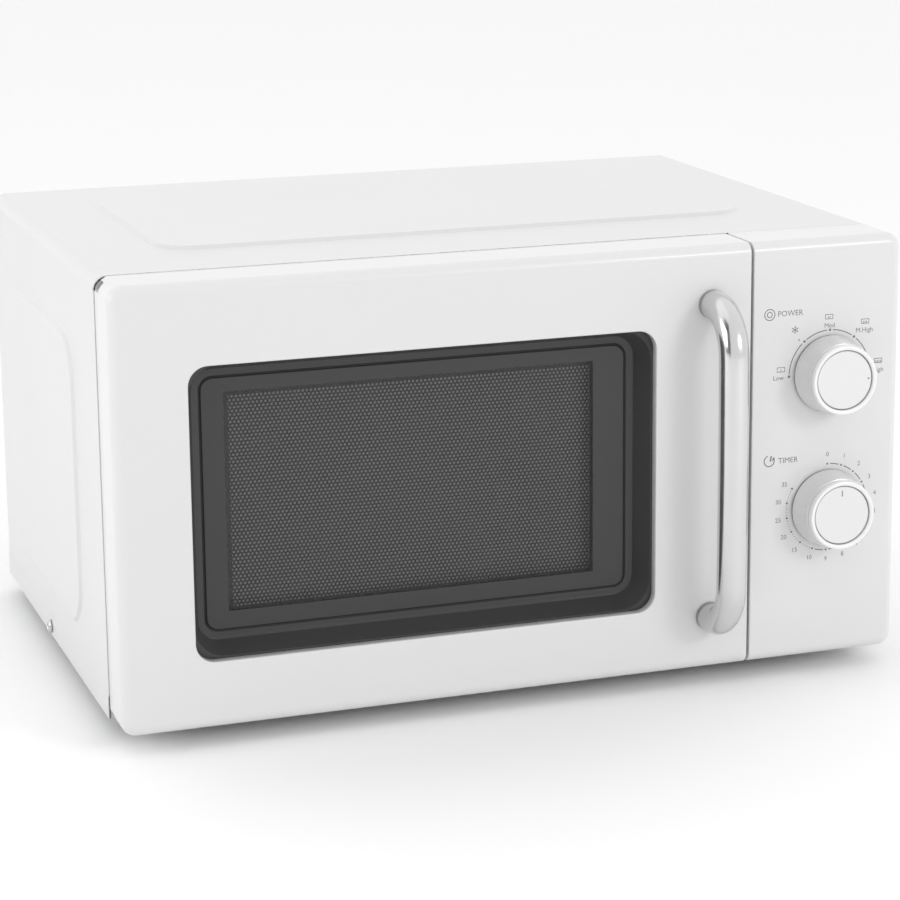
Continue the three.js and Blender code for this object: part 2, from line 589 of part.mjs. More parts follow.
function waveguideDuct() {
  const x = [bayLeft + fit, bayLeft + fit + waveguide.depth];
  const hollow = block([x[0] - 1, x[1] - sheet], grow(guideY, -sheet), grow(guideZ, -sheet));
  const launch = bar('x', magnetron.antenna + 3, [x[1] - 2, x[1] + 1], antenna);
  return cut(block(x, guideY, guideZ), hollow, launch);
}

function micaSheet() {
  const x = cavityX[1] - fit - mica.thickness;
  return block([x, x + mica.thickness], grow(portY, mica.margin), grow(portZ, mica.margin));
}

function magnetronFrame() {
  const inner = [magnetronX[0] + magnetron.wall, magnetronX[1] - magnetron.wall];
  const tube = cut(block(magnetronX, magnetronY, magnetronZ),
    block(inner, grow(magnetronY, 1), grow(magnetronZ, -magnetron.wall)));
  return cut(tube, bar('x', magnetron.anode * 0.6, [inner[1] - 1, magnetronX[1] + 1], antenna),
    bar('x', magnetron.antenna + fit, [magnetronX[0] - 1, inner[0] + 1], antenna));
}

function magnetronCore() {
  const x = [magnetronX[0] + magnetron.wall + fit, magnetronX[1] - magnetron.wall - fit];
  const anode = bar('x', magnetron.anode, x, antenna, 20);
  const domeX = [magnetronX[0] - magnetron.antennaLength, x[0] + 1];
  const dome = bar('x', magnetron.antenna, domeX, antenna, 20);
  const pitch = (x[1] - x[0] - magnetron.fin) / (magnetron.fins + 1);
  const finZ = grow(magnetronZ, -magnetron.wall - fit);
  const fins = [...Array(magnetron.fins).keys()].map(i => {
    const from = x[0] + pitch * (i + 1);
    return block([from, from + magnetron.fin], grow(magnetronY, -4), finZ);
  });
  return join(anode, dome, ...fins);
}

function magnetronFilter() {
  const x = [magnetronX[1] + fit, magnetronX[1] + fit + magnetron.filterLength];
  return cut(block(x, grow(magnetronY, -12), grow(magnetronZ, -6)),
    block([x[0] - 1, x[1] - sheet], grow(magnetronY, -12 - sheet), grow(magnetronZ, -6 - sheet)));
}

const coreX = [bayLeft + transformer.fromCavity, bayLeft + transformer.fromCavity + transformer.width];
const coreY = [transformer.y, transformer.y + transformer.stack];
const coreZ = [sheet + fit, sheet + fit + transformer.height];

function transformerCore() {
  const middle = (coreX[0] + coreX[1]) / 2;
  const windows = [[coreX[0] + transformer.leg, middle - transformer.leg],
    [middle + transformer.leg, coreX[1] - transformer.leg]];
  const holes = windows.map(x => block(x, grow(coreY, 1), grow(coreZ, -transformer.leg)));
  return cut(block(coreX, coreY, coreZ), ...holes);
}

function transformerWinding(z) {
  const middle = (coreX[0] + coreX[1]) / 2;
  const x = [middle - transformer.leg, middle + transformer.leg];
  const ring = roundedRectangle(grow(x, transformer.coil + fit), grow(coreY, transformer.coil + fit), 10);
  return cut(alongZ(ring, z), block(grow(x, fit), grow(coreY, fit), grow(z, 1)));
}

const capacitorY = [coreY[1] + capacitor.gap, coreY[1] + capacitor.gap + capacitor.depth];
const capacitorX = [coreX[0], coreX[0] + capacitor.length];

function capacitorCan() {
  const z = [sheet + fit, sheet + fit + capacitor.height];
  const can = alongZ(roundedRectangle(capacitorX, capacitorY, capacitor.depth / 2 - 0.5), z);
  const middle = (capacitorY[0] + capacitorY[1]) / 2;
  const tabs = [20, 32].map(inset => capacitorX[1] - inset).map(x =>
    block([x, x + 6], [middle - 0.5, middle + 0.5], [z[1] - 1, z[1] + 8]));
  return join(can, ...tabs);
}

function highVoltageDiode() {
  const z = sheet + 2 * fit + capacitor.height + diode.radius;
  return bar('x', diode.radius, [capacitorX[0] + 16, capacitorX[0] + 16 + diode.length],
    [(capacitorY[0] + capacitorY[1]) / 2, z], 16);
}

function fanShroud() {
  const tube = cut(block(shroudX, [fanPlateY, shroudRear], shroudZ),
    block(grow(shroudX, -fan.wall), [fanPlateY + fan.wall, shroudRear + 1], grow(shroudZ, -fan.wall)));
  const mouth = fanRadius + fan.tipGap;
  const ring = bar('y', mouth + fan.wall, [barY, fanPlateY + 1], [fanX, fanZ], 36);
  const hole = bar('y', mouth, [barY - 1, fanPlateY + fan.wall + 1], [fanX, fanZ], 36);
  const crossbar = block([fanX - fan.bar / 2, fanX + fan.bar / 2], [barY - fan.barDepth, barY + 1],
    [fanZ - mouth - fan.wall, fanZ + mouth + fan.wall]);
  return cut(join(cut(join(tube, ring), hole), crossbar),
    bar('y', fan.shaft + fan.play + 1, [barY - fan.barDepth - 1, barY + 2], [fanX, fanZ], 16));
}

function fanMotor() {
  const half = fan.motor / 2;
  const stack = block([fanX - half, fanX + half], grow(motorY, -6), [fanZ - half, fanZ + half]);
  const bearing = bar('y', 12, motorY, [fanX, fanZ], 24);
  return cut(join(stack, bearing), bar('y', fan.shaft + fan.play, grow(motorY, 1), [fanX, fanZ], 16));
}

function fanBlade() {
  const hubY = [barY + 4, barY + 4 + fan.bladeDepth];
  const middle = (hubY[0] + hubY[1]) / 2;
  const hub = bar('y', fan.hub, hubY, [0, 0], 24);
  const spindle = bar('y', fan.shaft, [motorY[0] + 1, hubY[0] + 1], [0, 0], 16);
  const tilt = THREE.MathUtils.degToRad(fan.bladeTilt);
  const blades = [...Array(fan.blades).keys()].map(i => {
    const geometry = new THREE.BoxGeometry(fan.bladeDepth * 1.6, fan.blade, fanRadius - fan.hub);
    geometry.rotateZ(tilt).translate(0, middle, (fanRadius + fan.hub) / 2 - 1);
    return solid(geometry.rotateY(i * Math.PI * 2 / fan.blades));
  });
  return join(hub, spindle, ...blades).translate([fanX, 0, fanZ]);
}

function lampHolder() {
  const x = [bayLeft + fit, bayLeft + fit + lamp.depth];
  const y = [lampY, lampY + lamp.side];
  const z = [lampZ, lampZ + lamp.side];
  const socket = cut(block(x, y, z), block([x[0] - 1, x[1] - 4], grow(y, -2), grow(z, -2)));
  const middle = [(y[0] + y[1]) / 2, (z[0] + z[1]) / 2];
  return join(socket, bar('x', 6, [x[0] + 1, x[1] - 3], middle, 20));
}

function noiseFilter() {
  const y = rearY - sheet - 2 * fit;
  const x = [shroudX[0] + 4, shroudX[0] + 4 + filterBoard.width];
  const z = [shroudZ[0] - filterBoard.belowFan - filterBoard.height, shroudZ[0] - filterBoard.belowFan];
  const front = y - filterBoard.thickness;
  const board = block(x, [front, y], z);
  const coilY = [front - filterBoard.coilLength, front + 0.5];
  const coil = bar('y', filterBoard.coil, coilY, [x[0] + 14, z[0] + 14], 20);
  const suppressor = block([x[0] + 28, x[0] + 44], [front - 12, front + 0.5], [z[0] + 8, z[0] + 30]);
  return join(board, coil, suppressor);
}

function cordGland() {
  const outer = gland.flangeThickness;
  const profile = [[gland.bore, -outer], [gland.flange, -outer], [gland.flange, 0], [gland.body, 0],
    [gland.body, gland.length], [gland.bore, gland.length], [gland.bore, -outer]];
  return turned('front', profile, 24).translate([width - gland.fromRight, rearY + fit, gland.z]);
}

// ---------------------------------------------------------------- turntable

function turntableMotor() {
  const z = [sheet + 2, cavityZ[0] - sheet - fit];
  return join(bar('z', turntable.motorRadius, z, centre, 32),
    bar('z', turntable.shaft, [z[1] - 1, z[1] + turntable.shaftLength], centre, 16));
}

// The drive piece on the motor's shaft, with three lobes that turn the lugs of the glass.
function turntableCoupler() {
  const foot0 = cavityZ[0] - sheet;
  const top = trayZ - 2 * fit;
  const hub = bar('z', turntable.hub, [foot0, top], [0, 0], 24);
  const lobes = [0, 1, 2].map(i => {
    const geometry = new THREE.BoxGeometry(turntable.lobe, turntable.lobeWidth, turntable.lobeHeight);
    geometry.translate(turntable.lobe / 2, 0, top - turntable.lobeHeight / 2);
    return solid(geometry.rotateZ(i * Math.PI * 2 / 3));
  });
  const bore = bar('z', turntable.shaft + fit, [foot0 - 1, foot0 + turntable.shaftLength + 1], [0, 0], 16);
  return cut(join(hub, ...lobes), bore).translate([...centre, 0]);
}

function glassTray() {
  const flat = trayRadius - tray.flat;
  const g = tray.glass;
  const dish = turned('up', [[0, 0], [flat, 0], [trayRadius, tray.rim], [trayRadius - 2, tray.rim + 2],
    [trayRadius - 5, tray.rim + 1], [flat - 1, g], [0, g]], 48);
  const lugs = [0, 1, 2].map(i => {
    const geometry = new THREE.CylinderGeometry(tray.lug, tray.lug, turntable.lobeHeight, 12);
    geometry.rotateX(Math.PI / 2).translate(turntable.lobe - 2, 0, -turntable.lobeHeight / 2 + 0.5);
    return solid(geometry.rotateZ((i + 0.5) * Math.PI * 2 / 3));
  });
  return join(dish, ...lugs).translate([...centre, trayZ]);
}

const ringOuter = trackRadius - roller.thickness / 2 - 1;

function rollerRing() {
  const half = roller.ringHeight / 2;
  const ring = cut(bar('z', ringOuter, [-half, half], [0, 0], 48),
    bar('z', ringOuter - roller.ringWidth, [-half - 1, half + 1], [0, 0], 48));
  const axles = [0, 1, 2].map(i => {
    const length = roller.thickness + 4.5;
    const geometry = new THREE.CylinderGeometry(roller.axle, roller.axle, length, 12);
    geometry.rotateZ(-Math.PI / 2).translate(ringOuter - 1 + length / 2, 0, 0);
    return solid(geometry.rotateZ(i * Math.PI * 2 / 3));
  });
  const stops = [0, 1, 2].map(i => {
    const geometry = new THREE.CylinderGeometry(roller.stop, roller.stop, 1, 12);
    geometry.rotateZ(-Math.PI / 2).translate(ringOuter + roller.thickness + 2.5, 0, 0);
    return solid(geometry.rotateZ(i * Math.PI * 2 / 3));
  });
  return join(ring, ...axles, ...stops).translate([...centre, wheelZ]);
}

function rollerWheel() {
  const half = roller.thickness / 2;
  const bore = roller.axle + roller.play;
  return turned('up', [[bore, -half], [roller.radius - 0.8, -half], [roller.radius, -half + 0.8],
    [roller.radius, half - 0.8], [roller.radius - 0.8, half], [bore, half], [bore, -half]], 20);
}

// ---------------------------------------------------------------- the assembly

add(cabinet, 'outer_cover', outerCover(), 'whiteSteel');
add(cabinet, 'back_panel', backPanel(), 'zinc');
add(cabinet, 'base_plate', basePlate(), 'zinc');
add(cabinet, 'front_plate', frontPlate(), 'whiteSteel');
add(cabinet, 'cavity_shell', cavityShell(), 'whiteSteel');
add(cabinet, 'hinge_lower', hingePlate(armLevels[0], true), 'zinc');
add(cabinet, 'hinge_upper', hingePlate(armLevels[1], false), 'zinc');
add(cabinet, 'cord_gland', cordGland(), 'rubber');

const footNames = ['foot_front_left', 'foot_rear_left', 'foot_front_right', 'foot_rear_right'];
footPlaces().forEach(([x, y], i) => {
  add(cabinet, footNames[i], rubberFoot(), 'rubber').position.set(x, y, 0);
});

[['case_screw_left', -fit, -1], ['case_screw_right', width + fit, 1]].forEach(([name, x, side]) => {
  const body = screw(caseScrew.headRadius, caseScrew.head, caseScrew.shank, caseScrew.length);
  const piece = add(cabinet, name, body, 'zinc');
  piece.position.set(x, caseScrew.y, caseScrew.z);
  piece.rotation.y = side * Math.PI / 2;
});

add(door, 'door_frame', doorFrame(), 'whitePlastic');
add(door, 'door_screen', doorScreen(), 'smoke');
add(door, 'door_pan', doorPan(), 'darkPlastic');
add(door, 'door_film', doorFilm(), 'clear');
add(door, 'door_choke_cover', doorChokeCover(), 'greyPlastic');
add(door, 'door_handle', doorHandle(), 'chrome');
add(door, 'door_hook', doorHook(), 'greyPlastic');
add(door, 'hook_spring', hookSpring(), 'zinc');
['handle_screw_lower', 'handle_screw_upper'].forEach((name, i) => {
  const length = slab.face + fit + handleScrew.intoTube;
  const body = screw(handleScrew.head, handleScrew.headThickness, handleScrew.shank, length);
  const piece = add(door, name, body, 'zinc');
  piece.position.set(handleX, slab.face + fit, handleEnds[i]);
  piece.rotation.x = -Math.PI / 2;
});

add(controls, 'control_panel', controlPanel(), 'whitePlastic');
add(controls, 'timer_unit', dialUnit(timerUnit.side, timerUnit.depth, timerZ), 'darkPlastic');
add(controls, 'timer_bell', timerBell(), 'zinc');
add(controls, 'power_selector', dialUnit(selector.side, selector.depth, powerZ), 'darkPlastic');
add(controls, 'interlock_housing', interlockHousing(), 'greyPlastic');
const switchLevels = [hookLevels[0], (hookLevels[0] + hookLevels[1]) / 2, hookLevels[1]];
['primary_switch', 'monitor_switch', 'secondary_switch'].forEach((name, i) => {
  add(controls, name, microswitchAt(switchLevels[i]), 'darkPlastic');
});
[['power', powerZ], ['timer', timerZ]].forEach(([name, z]) => {
  const turning = new THREE.Group();
  turning.position.set(dialX, 0, z);
  controls.add(turning);
  add(turning, `${name}_knob`, knobBody(), 'silver');
  add(turning, `${name}_knob_cap`, knobCap(), 'silver');
  add(turning, `${name}_shaft`, knobShaft(), 'zinc');
});

add(electronics, 'waveguide', waveguideDuct(), 'zinc');
add(electronics, 'waveguide_cover', micaSheet(), 'mica');
add(electronics, 'magnetron_frame', magnetronFrame(), 'zinc');
add(electronics, 'magnetron_core', magnetronCore(), 'aluminium');
add(electronics, 'magnetron_filter', magnetronFilter(), 'zinc');
add(electronics, 'transformer_core', transformerCore(), 'iron');
const primaryBase = coreZ[0] + transformer.leg + 2;
const secondaryBase = primaryBase + transformer.primary + 3;
[['primary', primaryBase], ['secondary', secondaryBase]].forEach(([name, z]) => {
  add(electronics, `${name}_winding`, transformerWinding([z, z + transformer[name]]), 'copper');
});
add(electronics, 'capacitor', capacitorCan(), 'aluminium');
add(electronics, 'high_voltage_diode', highVoltageDiode(), 'darkPlastic');
add(electronics, 'fan_shroud', fanShroud(), 'greyPlastic');
add(electronics, 'fan_motor', fanMotor(), 'iron');
add(electronics, 'fan_blade', fanBlade(), 'greyPlastic');
add(electronics, 'lamp_holder', lampHolder(), 'clear');
add(electronics, 'noise_filter', noiseFilter(), 'board');

add(turningTray, 'turntable_motor', turntableMotor(), 'zinc');
add(turningTray, 'turntable_coupler', turntableCoupler(), 'greyPlastic');
add(turningTray, 'glass_tray', glassTray(), 'clear');
add(turningTray, 'roller_ring', rollerRing(), 'greyPlastic');
[0, 1, 2].forEach(i => {
  const angle = i * Math.PI * 2 / 3;
  const piece = add(turningTray, `roller_wheel_${i + 1}`, rollerWheel(), 'greyPlastic');
  const reach = ringOuter + roller.thickness / 2 + 1.2;
  piece.position.set(centre[0] + reach * Math.cos(angle), centre[1] + reach * Math.sin(angle), wheelZ);
  piece.rotation.set(0, Math.PI / 2, angle, 'ZYX');
});

export default microwave;
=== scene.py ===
# A white countertop microwave oven with two rotary dials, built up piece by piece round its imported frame.
# Everything is in metres in the frame's own axes: +X right, -Y front, +Z up.
import math

import bmesh
import bpy
from mathutils import Matrix, Quaternion, Vector


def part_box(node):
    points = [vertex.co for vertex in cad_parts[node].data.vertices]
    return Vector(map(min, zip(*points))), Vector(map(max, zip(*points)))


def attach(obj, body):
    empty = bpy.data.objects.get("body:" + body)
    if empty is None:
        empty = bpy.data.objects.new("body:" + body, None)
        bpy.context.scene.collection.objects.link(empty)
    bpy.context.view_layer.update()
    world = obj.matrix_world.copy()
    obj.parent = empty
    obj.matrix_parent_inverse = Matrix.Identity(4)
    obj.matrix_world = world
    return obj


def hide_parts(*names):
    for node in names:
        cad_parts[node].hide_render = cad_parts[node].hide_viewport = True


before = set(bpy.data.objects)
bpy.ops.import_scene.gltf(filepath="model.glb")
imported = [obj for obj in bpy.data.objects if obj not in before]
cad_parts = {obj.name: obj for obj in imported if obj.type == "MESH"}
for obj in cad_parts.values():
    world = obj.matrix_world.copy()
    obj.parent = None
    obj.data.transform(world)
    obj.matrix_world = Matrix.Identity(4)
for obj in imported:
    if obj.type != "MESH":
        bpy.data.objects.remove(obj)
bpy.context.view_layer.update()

MM = 0.001

# ------------------------------------------------------------------ camera and studio
# The oven stands on a pale floor in a white room, seen from the left and a little above. Soft lights hang
# over it, on its left and in front of it, and a dark screen on the left edges the chrome.
scene = bpy.context.scene
scene.view_settings.view_transform = "Standard"

camera_data = bpy.data.cameras.new("camera")
camera_data.sensor_width = 36
camera_data.lens = 113.5
camera_data.shift_x = -0.0667
camera_data.shift_y = -0.0667
camera = bpy.data.objects.new("camera", camera_data)
azimuth, elevation, roll = (math.radians(angle) for angle in (-19.92, 12.89, -0.31))
backwards = Vector((math.sin(azimuth) * math.cos(elevation), -math.cos(azimuth) * math.cos(elevation),
                    math.sin(elevation)))
camera.location = (-0.516, -1.547, 0.523)
camera.rotation_mode = "QUATERNION"
camera.rotation_quaternion = (-backwards).to_track_quat("-Z", "Y") @ Quaternion((0, 0, 1), roll)
scene.collection.objects.link(camera)
scene.camera = camera


def soft_light(name, place, aim, size, power):
    data = bpy.data.lights.new(name, "AREA")
    data.shape = "RECTANGLE"
    data.size, data.size_y = size
    data.energy = power
    light = bpy.data.objects.new(name, data)
    light.location = place
    light.rotation_mode = "QUATERNION"
    light.rotation_quaternion = (Vector(aim) - Vector(place)).to_track_quat("-Z", "Y")
    scene.collection.objects.link(light)


soft_light("top_light", (-0.7, 0.1, 1.9), (0, 0, 0.1), (1.6, 1.6), 1.2)
soft_light("side_light", (-1.9, -0.3, 0.9), (0, 0, 0.1), (1.2, 1.0), 11)
soft_light("front_light", (1.0, -1.7, 0.9), (0, 0, 0.1), (0.5, 0.5), 7)


class Wire:
    """One value in a material's nodes. Arithmetic on wires adds Math nodes."""

    def __init__(self, tree, socket):
        self.tree, self.socket = tree, socket

    def node(self, kind, settings=None, output=0, **values):
        """Adds a node: its settings first, then its inputs, named in words or as i0, i1 and so on."""
        made = self.tree.nodes.new(kind)
        for setting, value in (settings or {}).items():
            if setting == "stops":
                while len(made.color_ramp.elements) < len(value):
                    made.color_ramp.elements.new(0.5)
                for stop, (position, grey) in zip(made.color_ramp.elements, value):
                    stop.position, stop.color = position, (grey, grey, grey, 1)
            else:
                setattr(made, setting, value)
        for key, value in values.items():
            numbered = key[0] == "i" and key[1:].isdigit()
            slot = made.inputs[int(key[1:])] if numbered else made.inputs[key.replace("_", " ")]
            if isinstance(value, Wire):
                self.tree.links.new(value.socket, slot)
            else:
                slot.default_value = value
        return Wire(self.tree, made.outputs[output])

    def maths(self, operation, first, second=0.0):
        return self.node("ShaderNodeMath", {"operation": operation}, i0=first, i1=second)

    def __add__(self, other): return self.maths("ADD", self, other)
    def __radd__(self, other): return self.maths("ADD", other, self)
    def __sub__(self, other): return self.maths("SUBTRACT", self, other)
    def __rsub__(self, other): return self.maths("SUBTRACT", other, self)
    def __mul__(self, other): return self.maths("MULTIPLY", self, other)
    def __rmul__(self, other): return self.maths("MULTIPLY", other, self)
    def __gt__(self, other): return self.maths("GREATER_THAN", self, other)
    def __lt__(self, other): return self.maths("LESS_THAN", self, other)

    def part(self, axis):
        return self.node("ShaderNodeSeparateXYZ", output="XYZ".index(axis), Vector=self)

    def noise(self, scale, detail=2.0, stretch=(1, 1, 1)):
        place = self.node("ShaderNodeMapping", Vector=self, Scale=stretch)
        return place.node("ShaderNodeTexNoise", Vector=place, Scale=scale, Detail=detail)

    def between(self, low, high):
        return (self > low) * (self < high)

    def shaded(self, color, darker):
        """The colour, times `darker` where this wire is 1."""
        dark = (*(channel * darker for channel in color), 1)
        return self.node("ShaderNodeMix", {"data_type": "RGBA"}, 2, i0=self, i6=(*color, 1), i7=dark)

    def bump(self, depth, strength=1.0):
        return self.node("ShaderNodeBump", Height=self, Distance=depth, Strength=strength)


def new_material(name, color, roughness, metallic=0.0, **fixed):
    """A material with its uniform values set, its object coordinates, and a function that wires it."""
    material = bpy.data.materials.new(name)
    material.use_nodes = True
    tree = material.node_tree
    surface = tree.nodes["Principled BSDF"]
    for key, value in dict(fixed, Base_Color=(*color, 1), Roughness=roughness, Metallic=metallic).items():
        surface.inputs[key.replace("_", " ")].default_value = value
    place = Wire(tree, tree.nodes.new("ShaderNodeTexCoord").outputs["Object"])

    def wire(**links):
        for key, value in links.items():
            tree.links.new(value.socket, surface.inputs[key.replace("_", " ")])
    return material, place, wire


def finish(name, color, roughness, grain, depth, mottle, metallic=0.0, stretch=(1, 1, 1), **fixed):
    """A finish with a fine grain, slow clouds of tone and uneven gloss. The grain is so many to the metre."""
    material, place, wire = new_material(name, color, roughness, metallic, **fixed)
    fine = place.noise(grain, 3, stretch)
    clouds = place.noise(9, 2)
    wire(Base_Color=clouds.shaded(color, 1 - mottle), Normal=fine.bump(depth, 0.6),
         Roughness=roughness - 0.06 + 0.08 * fine + 0.04 * clouds)
    return material


screen_headings, screen_heights = (-84, -48), (-0.5, 0.8)
room_light, more_behind, screen_darkness = 1.03, 0.10, 0.88
surround = bpy.data.worlds.new("surround")
surround.use_nodes = True
background = surround.node_tree.nodes["Background"]
sky = Wire(surround.node_tree, surround.node_tree.nodes.new("ShaderNodeTexCoord").outputs["Generated"])
heading = sky.maths("ARCTAN2", sky.part("X"), 0 - sky.part("Y")) * (180 / math.pi)
screen = heading.between(*screen_headings) * sky.part("Z").between(*screen_heights)
sky_light = (room_light + more_behind * sky.part("Y")) * (1 - screen_darkness * screen)
surround.node_tree.links.new(sky_light.socket, background.inputs["Strength"])
background.inputs["Color"].default_value = (1, 1, 1, 1)
scene.world = surround

shape = bmesh.new()
bmesh.ops.create_circle(shape, cap_ends=True, segments=96, radius=6)
floor_mesh = bpy.data.meshes.new("floor")
shape.to_mesh(floor_mesh)
shape.free()
floor = bpy.data.objects.new("floor", floor_mesh)
floor_mesh.materials.append(finish("floor_paint", (0.95, 0.95, 0.95), 0.75, 300, 0.0001, 0.01))
scene.collection.objects.link(floor)

# ------------------------------------------------------------------ base plate and feet
# The base is a shallow tray pressed from zinc-coated steel. Four moulded rubber feet push into it from below,
# each with a stud that snaps through a hole and a hollow tread.
slab_lo, slab_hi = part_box("door_frame")
cover_lo, cover_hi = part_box("outer_cover")
corner = Vector((cover_lo.x, slab_lo.y, cover_lo.z))


def at(x, y, z):
    """A place so many millimetres right of, behind and above the cabinet's lower left front corner."""
    return corner + Vector((x, y, z)) * MM


def give(node, material):
    """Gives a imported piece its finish."""
    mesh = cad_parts[node].data
    mesh.materials.clear()
    mesh.materials.append(material)


def new_piece(name, shape, material, body, replaces=()):
    """Makes the object of a finished bmesh and says what it rides on and stands for."""
    mesh = bpy.data.meshes.new(name)
    shape.to_mesh(mesh)
    shape.free()
    piece = bpy.data.objects.new(name, mesh)
    scene.collection.objects.link(piece)
    mesh.materials.append(material)
    mesh.shade_smooth()
    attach(piece, body)
    if replaces:
        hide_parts(*replaces)
    return piece


def modifier(piece, kind, **settings):
    added = piece.modifiers.new(kind.lower(), kind)
    for key, value in settings.items():
        setattr(added, key, value)


def soften(piece, radius, segments=3):
    """Rounds every edge sharper than a third of a right angle and keeps the flats flat."""
    modifier(piece, "BEVEL", width=radius, segments=segments, limit_method="ANGLE",
             angle_limit=math.radians(30))
    modifier(piece, "WEIGHTED_NORMAL", weight=60, keep_sharp=True)


def spun(shape, profile, centre, axis, steps=64):
    """Spins a chain of (radius, distance along the axis) points, in millimetres, once round the axis."""
    axis = Vector(axis)
    side = axis.orthogonal().normalized()
    chain = [shape.verts.new(centre + (side * radius + axis * along) * MM) for radius, along in profile]
    edges = [shape.edges.new(pair) for pair in zip(chain, chain[1:])]
    bmesh.ops.spin(shape, geom=chain + edges, cent=centre, axis=axis, angle=math.tau, steps=steps,
                   use_merge=True)
    bmesh.ops.remove_doubles(shape, verts=shape.verts, dist=1e-6)
    bmesh.ops.recalc_face_normals(shape, faces=shape.faces)


zinc = finish("zinc_coated_steel", (0.56, 0.57, 0.58), 0.38, 900, 0.00001, 0.12, 0.9, (1, 6, 1))
give("base_plate", zinc)
rubber = finish("black_rubber", (0.028, 0.028, 0.03), 0.72, 1800, 0.00006, 0.15)
foot_profile = [(0, -9.5), (5, -9.5), (6.5, -11), (9.3, -11), (10, -10.3), (12, -1), (11.4, -0.3), (3, -0.3),
                (2.2, 1.5), (3, 2.4), (2, 4), (0, 4)]
for node in ("foot_front_left", "foot_rear_left", "foot_front_right", "foot_rear_right"):
    foot_lo, foot_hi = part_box(node)
    middle = (foot_lo + foot_hi) / 2
    shape = bmesh.new()
    spun(shape, foot_profile, Vector((middle.x, middle.y, corner.z)), (0, 0, 1), 48)
    soften(new_piece(f"rubber_{node}", shape, rubber, "cabinet", [node]), 0.4 * MM)

# ------------------------------------------------------------------ cavity and front plate
# The cavity is a welded box of steel behind a flat front plate, both enamelled light grey. The waveguide's
# port in its right wall is closed by a sheet of mica.
cavity_enamel = finish("cavity_enamel", (0.62, 0.625, 0.62), 0.34, 260, 0.00005, 0.05, Coat_Weight=0.3)
give("cavity_shell", cavity_enamel)
give("front_plate", cavity_enamel)
mica, place, wire = new_material("mica_sheet", (0.46, 0.39, 0.28), 0.45)
flakes = place.node("ShaderNodeTexVoronoi", Vector=place, Scale=260.0)
wire(Base_Color=flakes.shaded((0.46, 0.39, 0.28), 0.6), Roughness=0.3 + 0.3 * flakes,
     Normal=flakes.bump(0.00008, 0.5))
give("waveguide_cover", mica)

# ------------------------------------------------------------------ magnetron and lamp
# Behind the waveguide sits the magnetron: an aluminium-finned anode in a zinc-coated yoke, with its filter
# box. The cavity lamp stands in a clear holder next to it.
aluminium = finish("plain_aluminium", (0.72, 0.73, 0.74), 0.3, 700, 0.00001, 0.08, 1.0, (1, 1, 8))
clear_plastic = finish("clear_holder", (0.85, 0.87, 0.87), 0.12, 300, 0.00002, 0.02, Transmission_Weight=0.8)
for node in ("waveguide", "magnetron_frame", "magnetron_filter"):
    give(node, zinc)
give("magnetron_core", aluminium)
give("lamp_holder", clear_plastic)

# ------------------------------------------------------------------ transformer and capacitor
# The transformer is a stack of thin varnished iron sheets welded round two windings of enamelled copper
# wire. The capacitor is a sealed aluminium can, and the diode lies on top of it.
iron, place, wire = new_material("iron_sheets", (0.20, 0.18, 0.16), 0.5, 0.6)
sheets = place.node("ShaderNodeTexWave", {"bands_direction": "Y"}, 1, Vector=place, Scale=320.0,
                    Distortion=0.4)
rust = place.noise(60, 4)
wire(Base_Color=rust.shaded((0.24, 0.20, 0.17), 0.55), Roughness=0.4 + 0.25 * rust,
     Normal=sheets.bump(0.0002, 0.7))
copper, place, wire = new_material("copper_wire", (0.52, 0.22, 0.10), 0.32, 0.85)
turns = place.node("ShaderNodeTexWave", {"bands_direction": "Z"}, 1, Vector=place, Scale=210.0,
                   Distortion=0.3)
wire(Base_Color=turns.shaded((0.35, 0.13, 0.05), 1.6), Normal=turns.bump(0.0004, 0.8),
     Roughness=0.25 + 0.2 * place.noise(200))
dark_plastic = finish("black_moulding", (0.035, 0.035, 0.038), 0.42, 1400, 0.00005, 0.1)
give("transformer_core", iron)
give("fan_motor", iron)
give("primary_winding", copper)
give("secondary_winding", copper)
give("capacitor", aluminium)
give("high_voltage_diode", dark_plastic)

# ------------------------------------------------------------------ fan and noise filter
# A plastic fan on a shaded-pole motor blows through a moulded shroud behind the back panel's slots. The
# noise filter is a small green circuit board below it.
grey_plastic = finish("grey_moulding", (0.52, 0.53, 0.54), 0.42, 1200, 0.00005, 0.05)
board, place, wire = new_material("green_board", (0.04, 0.16, 0.07), 0.35)
tracks = place.node("ShaderNodeTexBrick", output=1, Vector=place, Scale=120.0)
wire(Base_Color=tracks.shaded((0.04, 0.16, 0.07), 1.9), Roughness=0.3 + 0.15 * place.noise(300))
for node in ("fan_shroud", "fan_blade", "interlock_housing"):
    give(node, grey_plastic)
give("noise_filter", board)

# ------------------------------------------------------------------ turntable
# A flat gear motor under the cavity turns a three-lobed coupler. The glass tray rests on it and on a ring
# with three rolling wheels. The tray is pressed glass with a raised rim and a shallow ring.
give("turntable_motor", zinc)
for node in ("turntable_coupler", "roller_ring", "roller_wheel_1", "roller_wheel_2", "roller_wheel_3"):
    give(node, grey_plastic)
tray_lo, tray_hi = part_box("glass_tray")
tray_radius = (tray_hi.x - tray_lo.x) / 2 / MM
hub = (tray_lo + tray_hi) / 2
tray_height = 16
underside = tray_hi.z - tray_height * MM
from_rim = ((16, 0), (13, 0.6), (4, 9.5), (0, 14), (0.4, 15.6), (2, tray_height), (4.4, 14.6), (8, 9.6),
            (15, 4.3), (20, 4), (38, 4), (39, 4.5), (41, 4.5), (42, 4))
tray_profile = [(0, 0), (20, 0), *((tray_radius - inwards, up) for inwards, up in from_rim), (0, 4)]
glass, place, wire = new_material("tray_glass", (0.93, 0.96, 0.95), 0.04, Transmission_Weight=1.0, IOR=1.5)
ripple = place.noise(35, 2)
wire(Normal=ripple.bump(0.0006, 0.35), Roughness=0.02 + 0.05 * place.noise(120))
shape = bmesh.new()
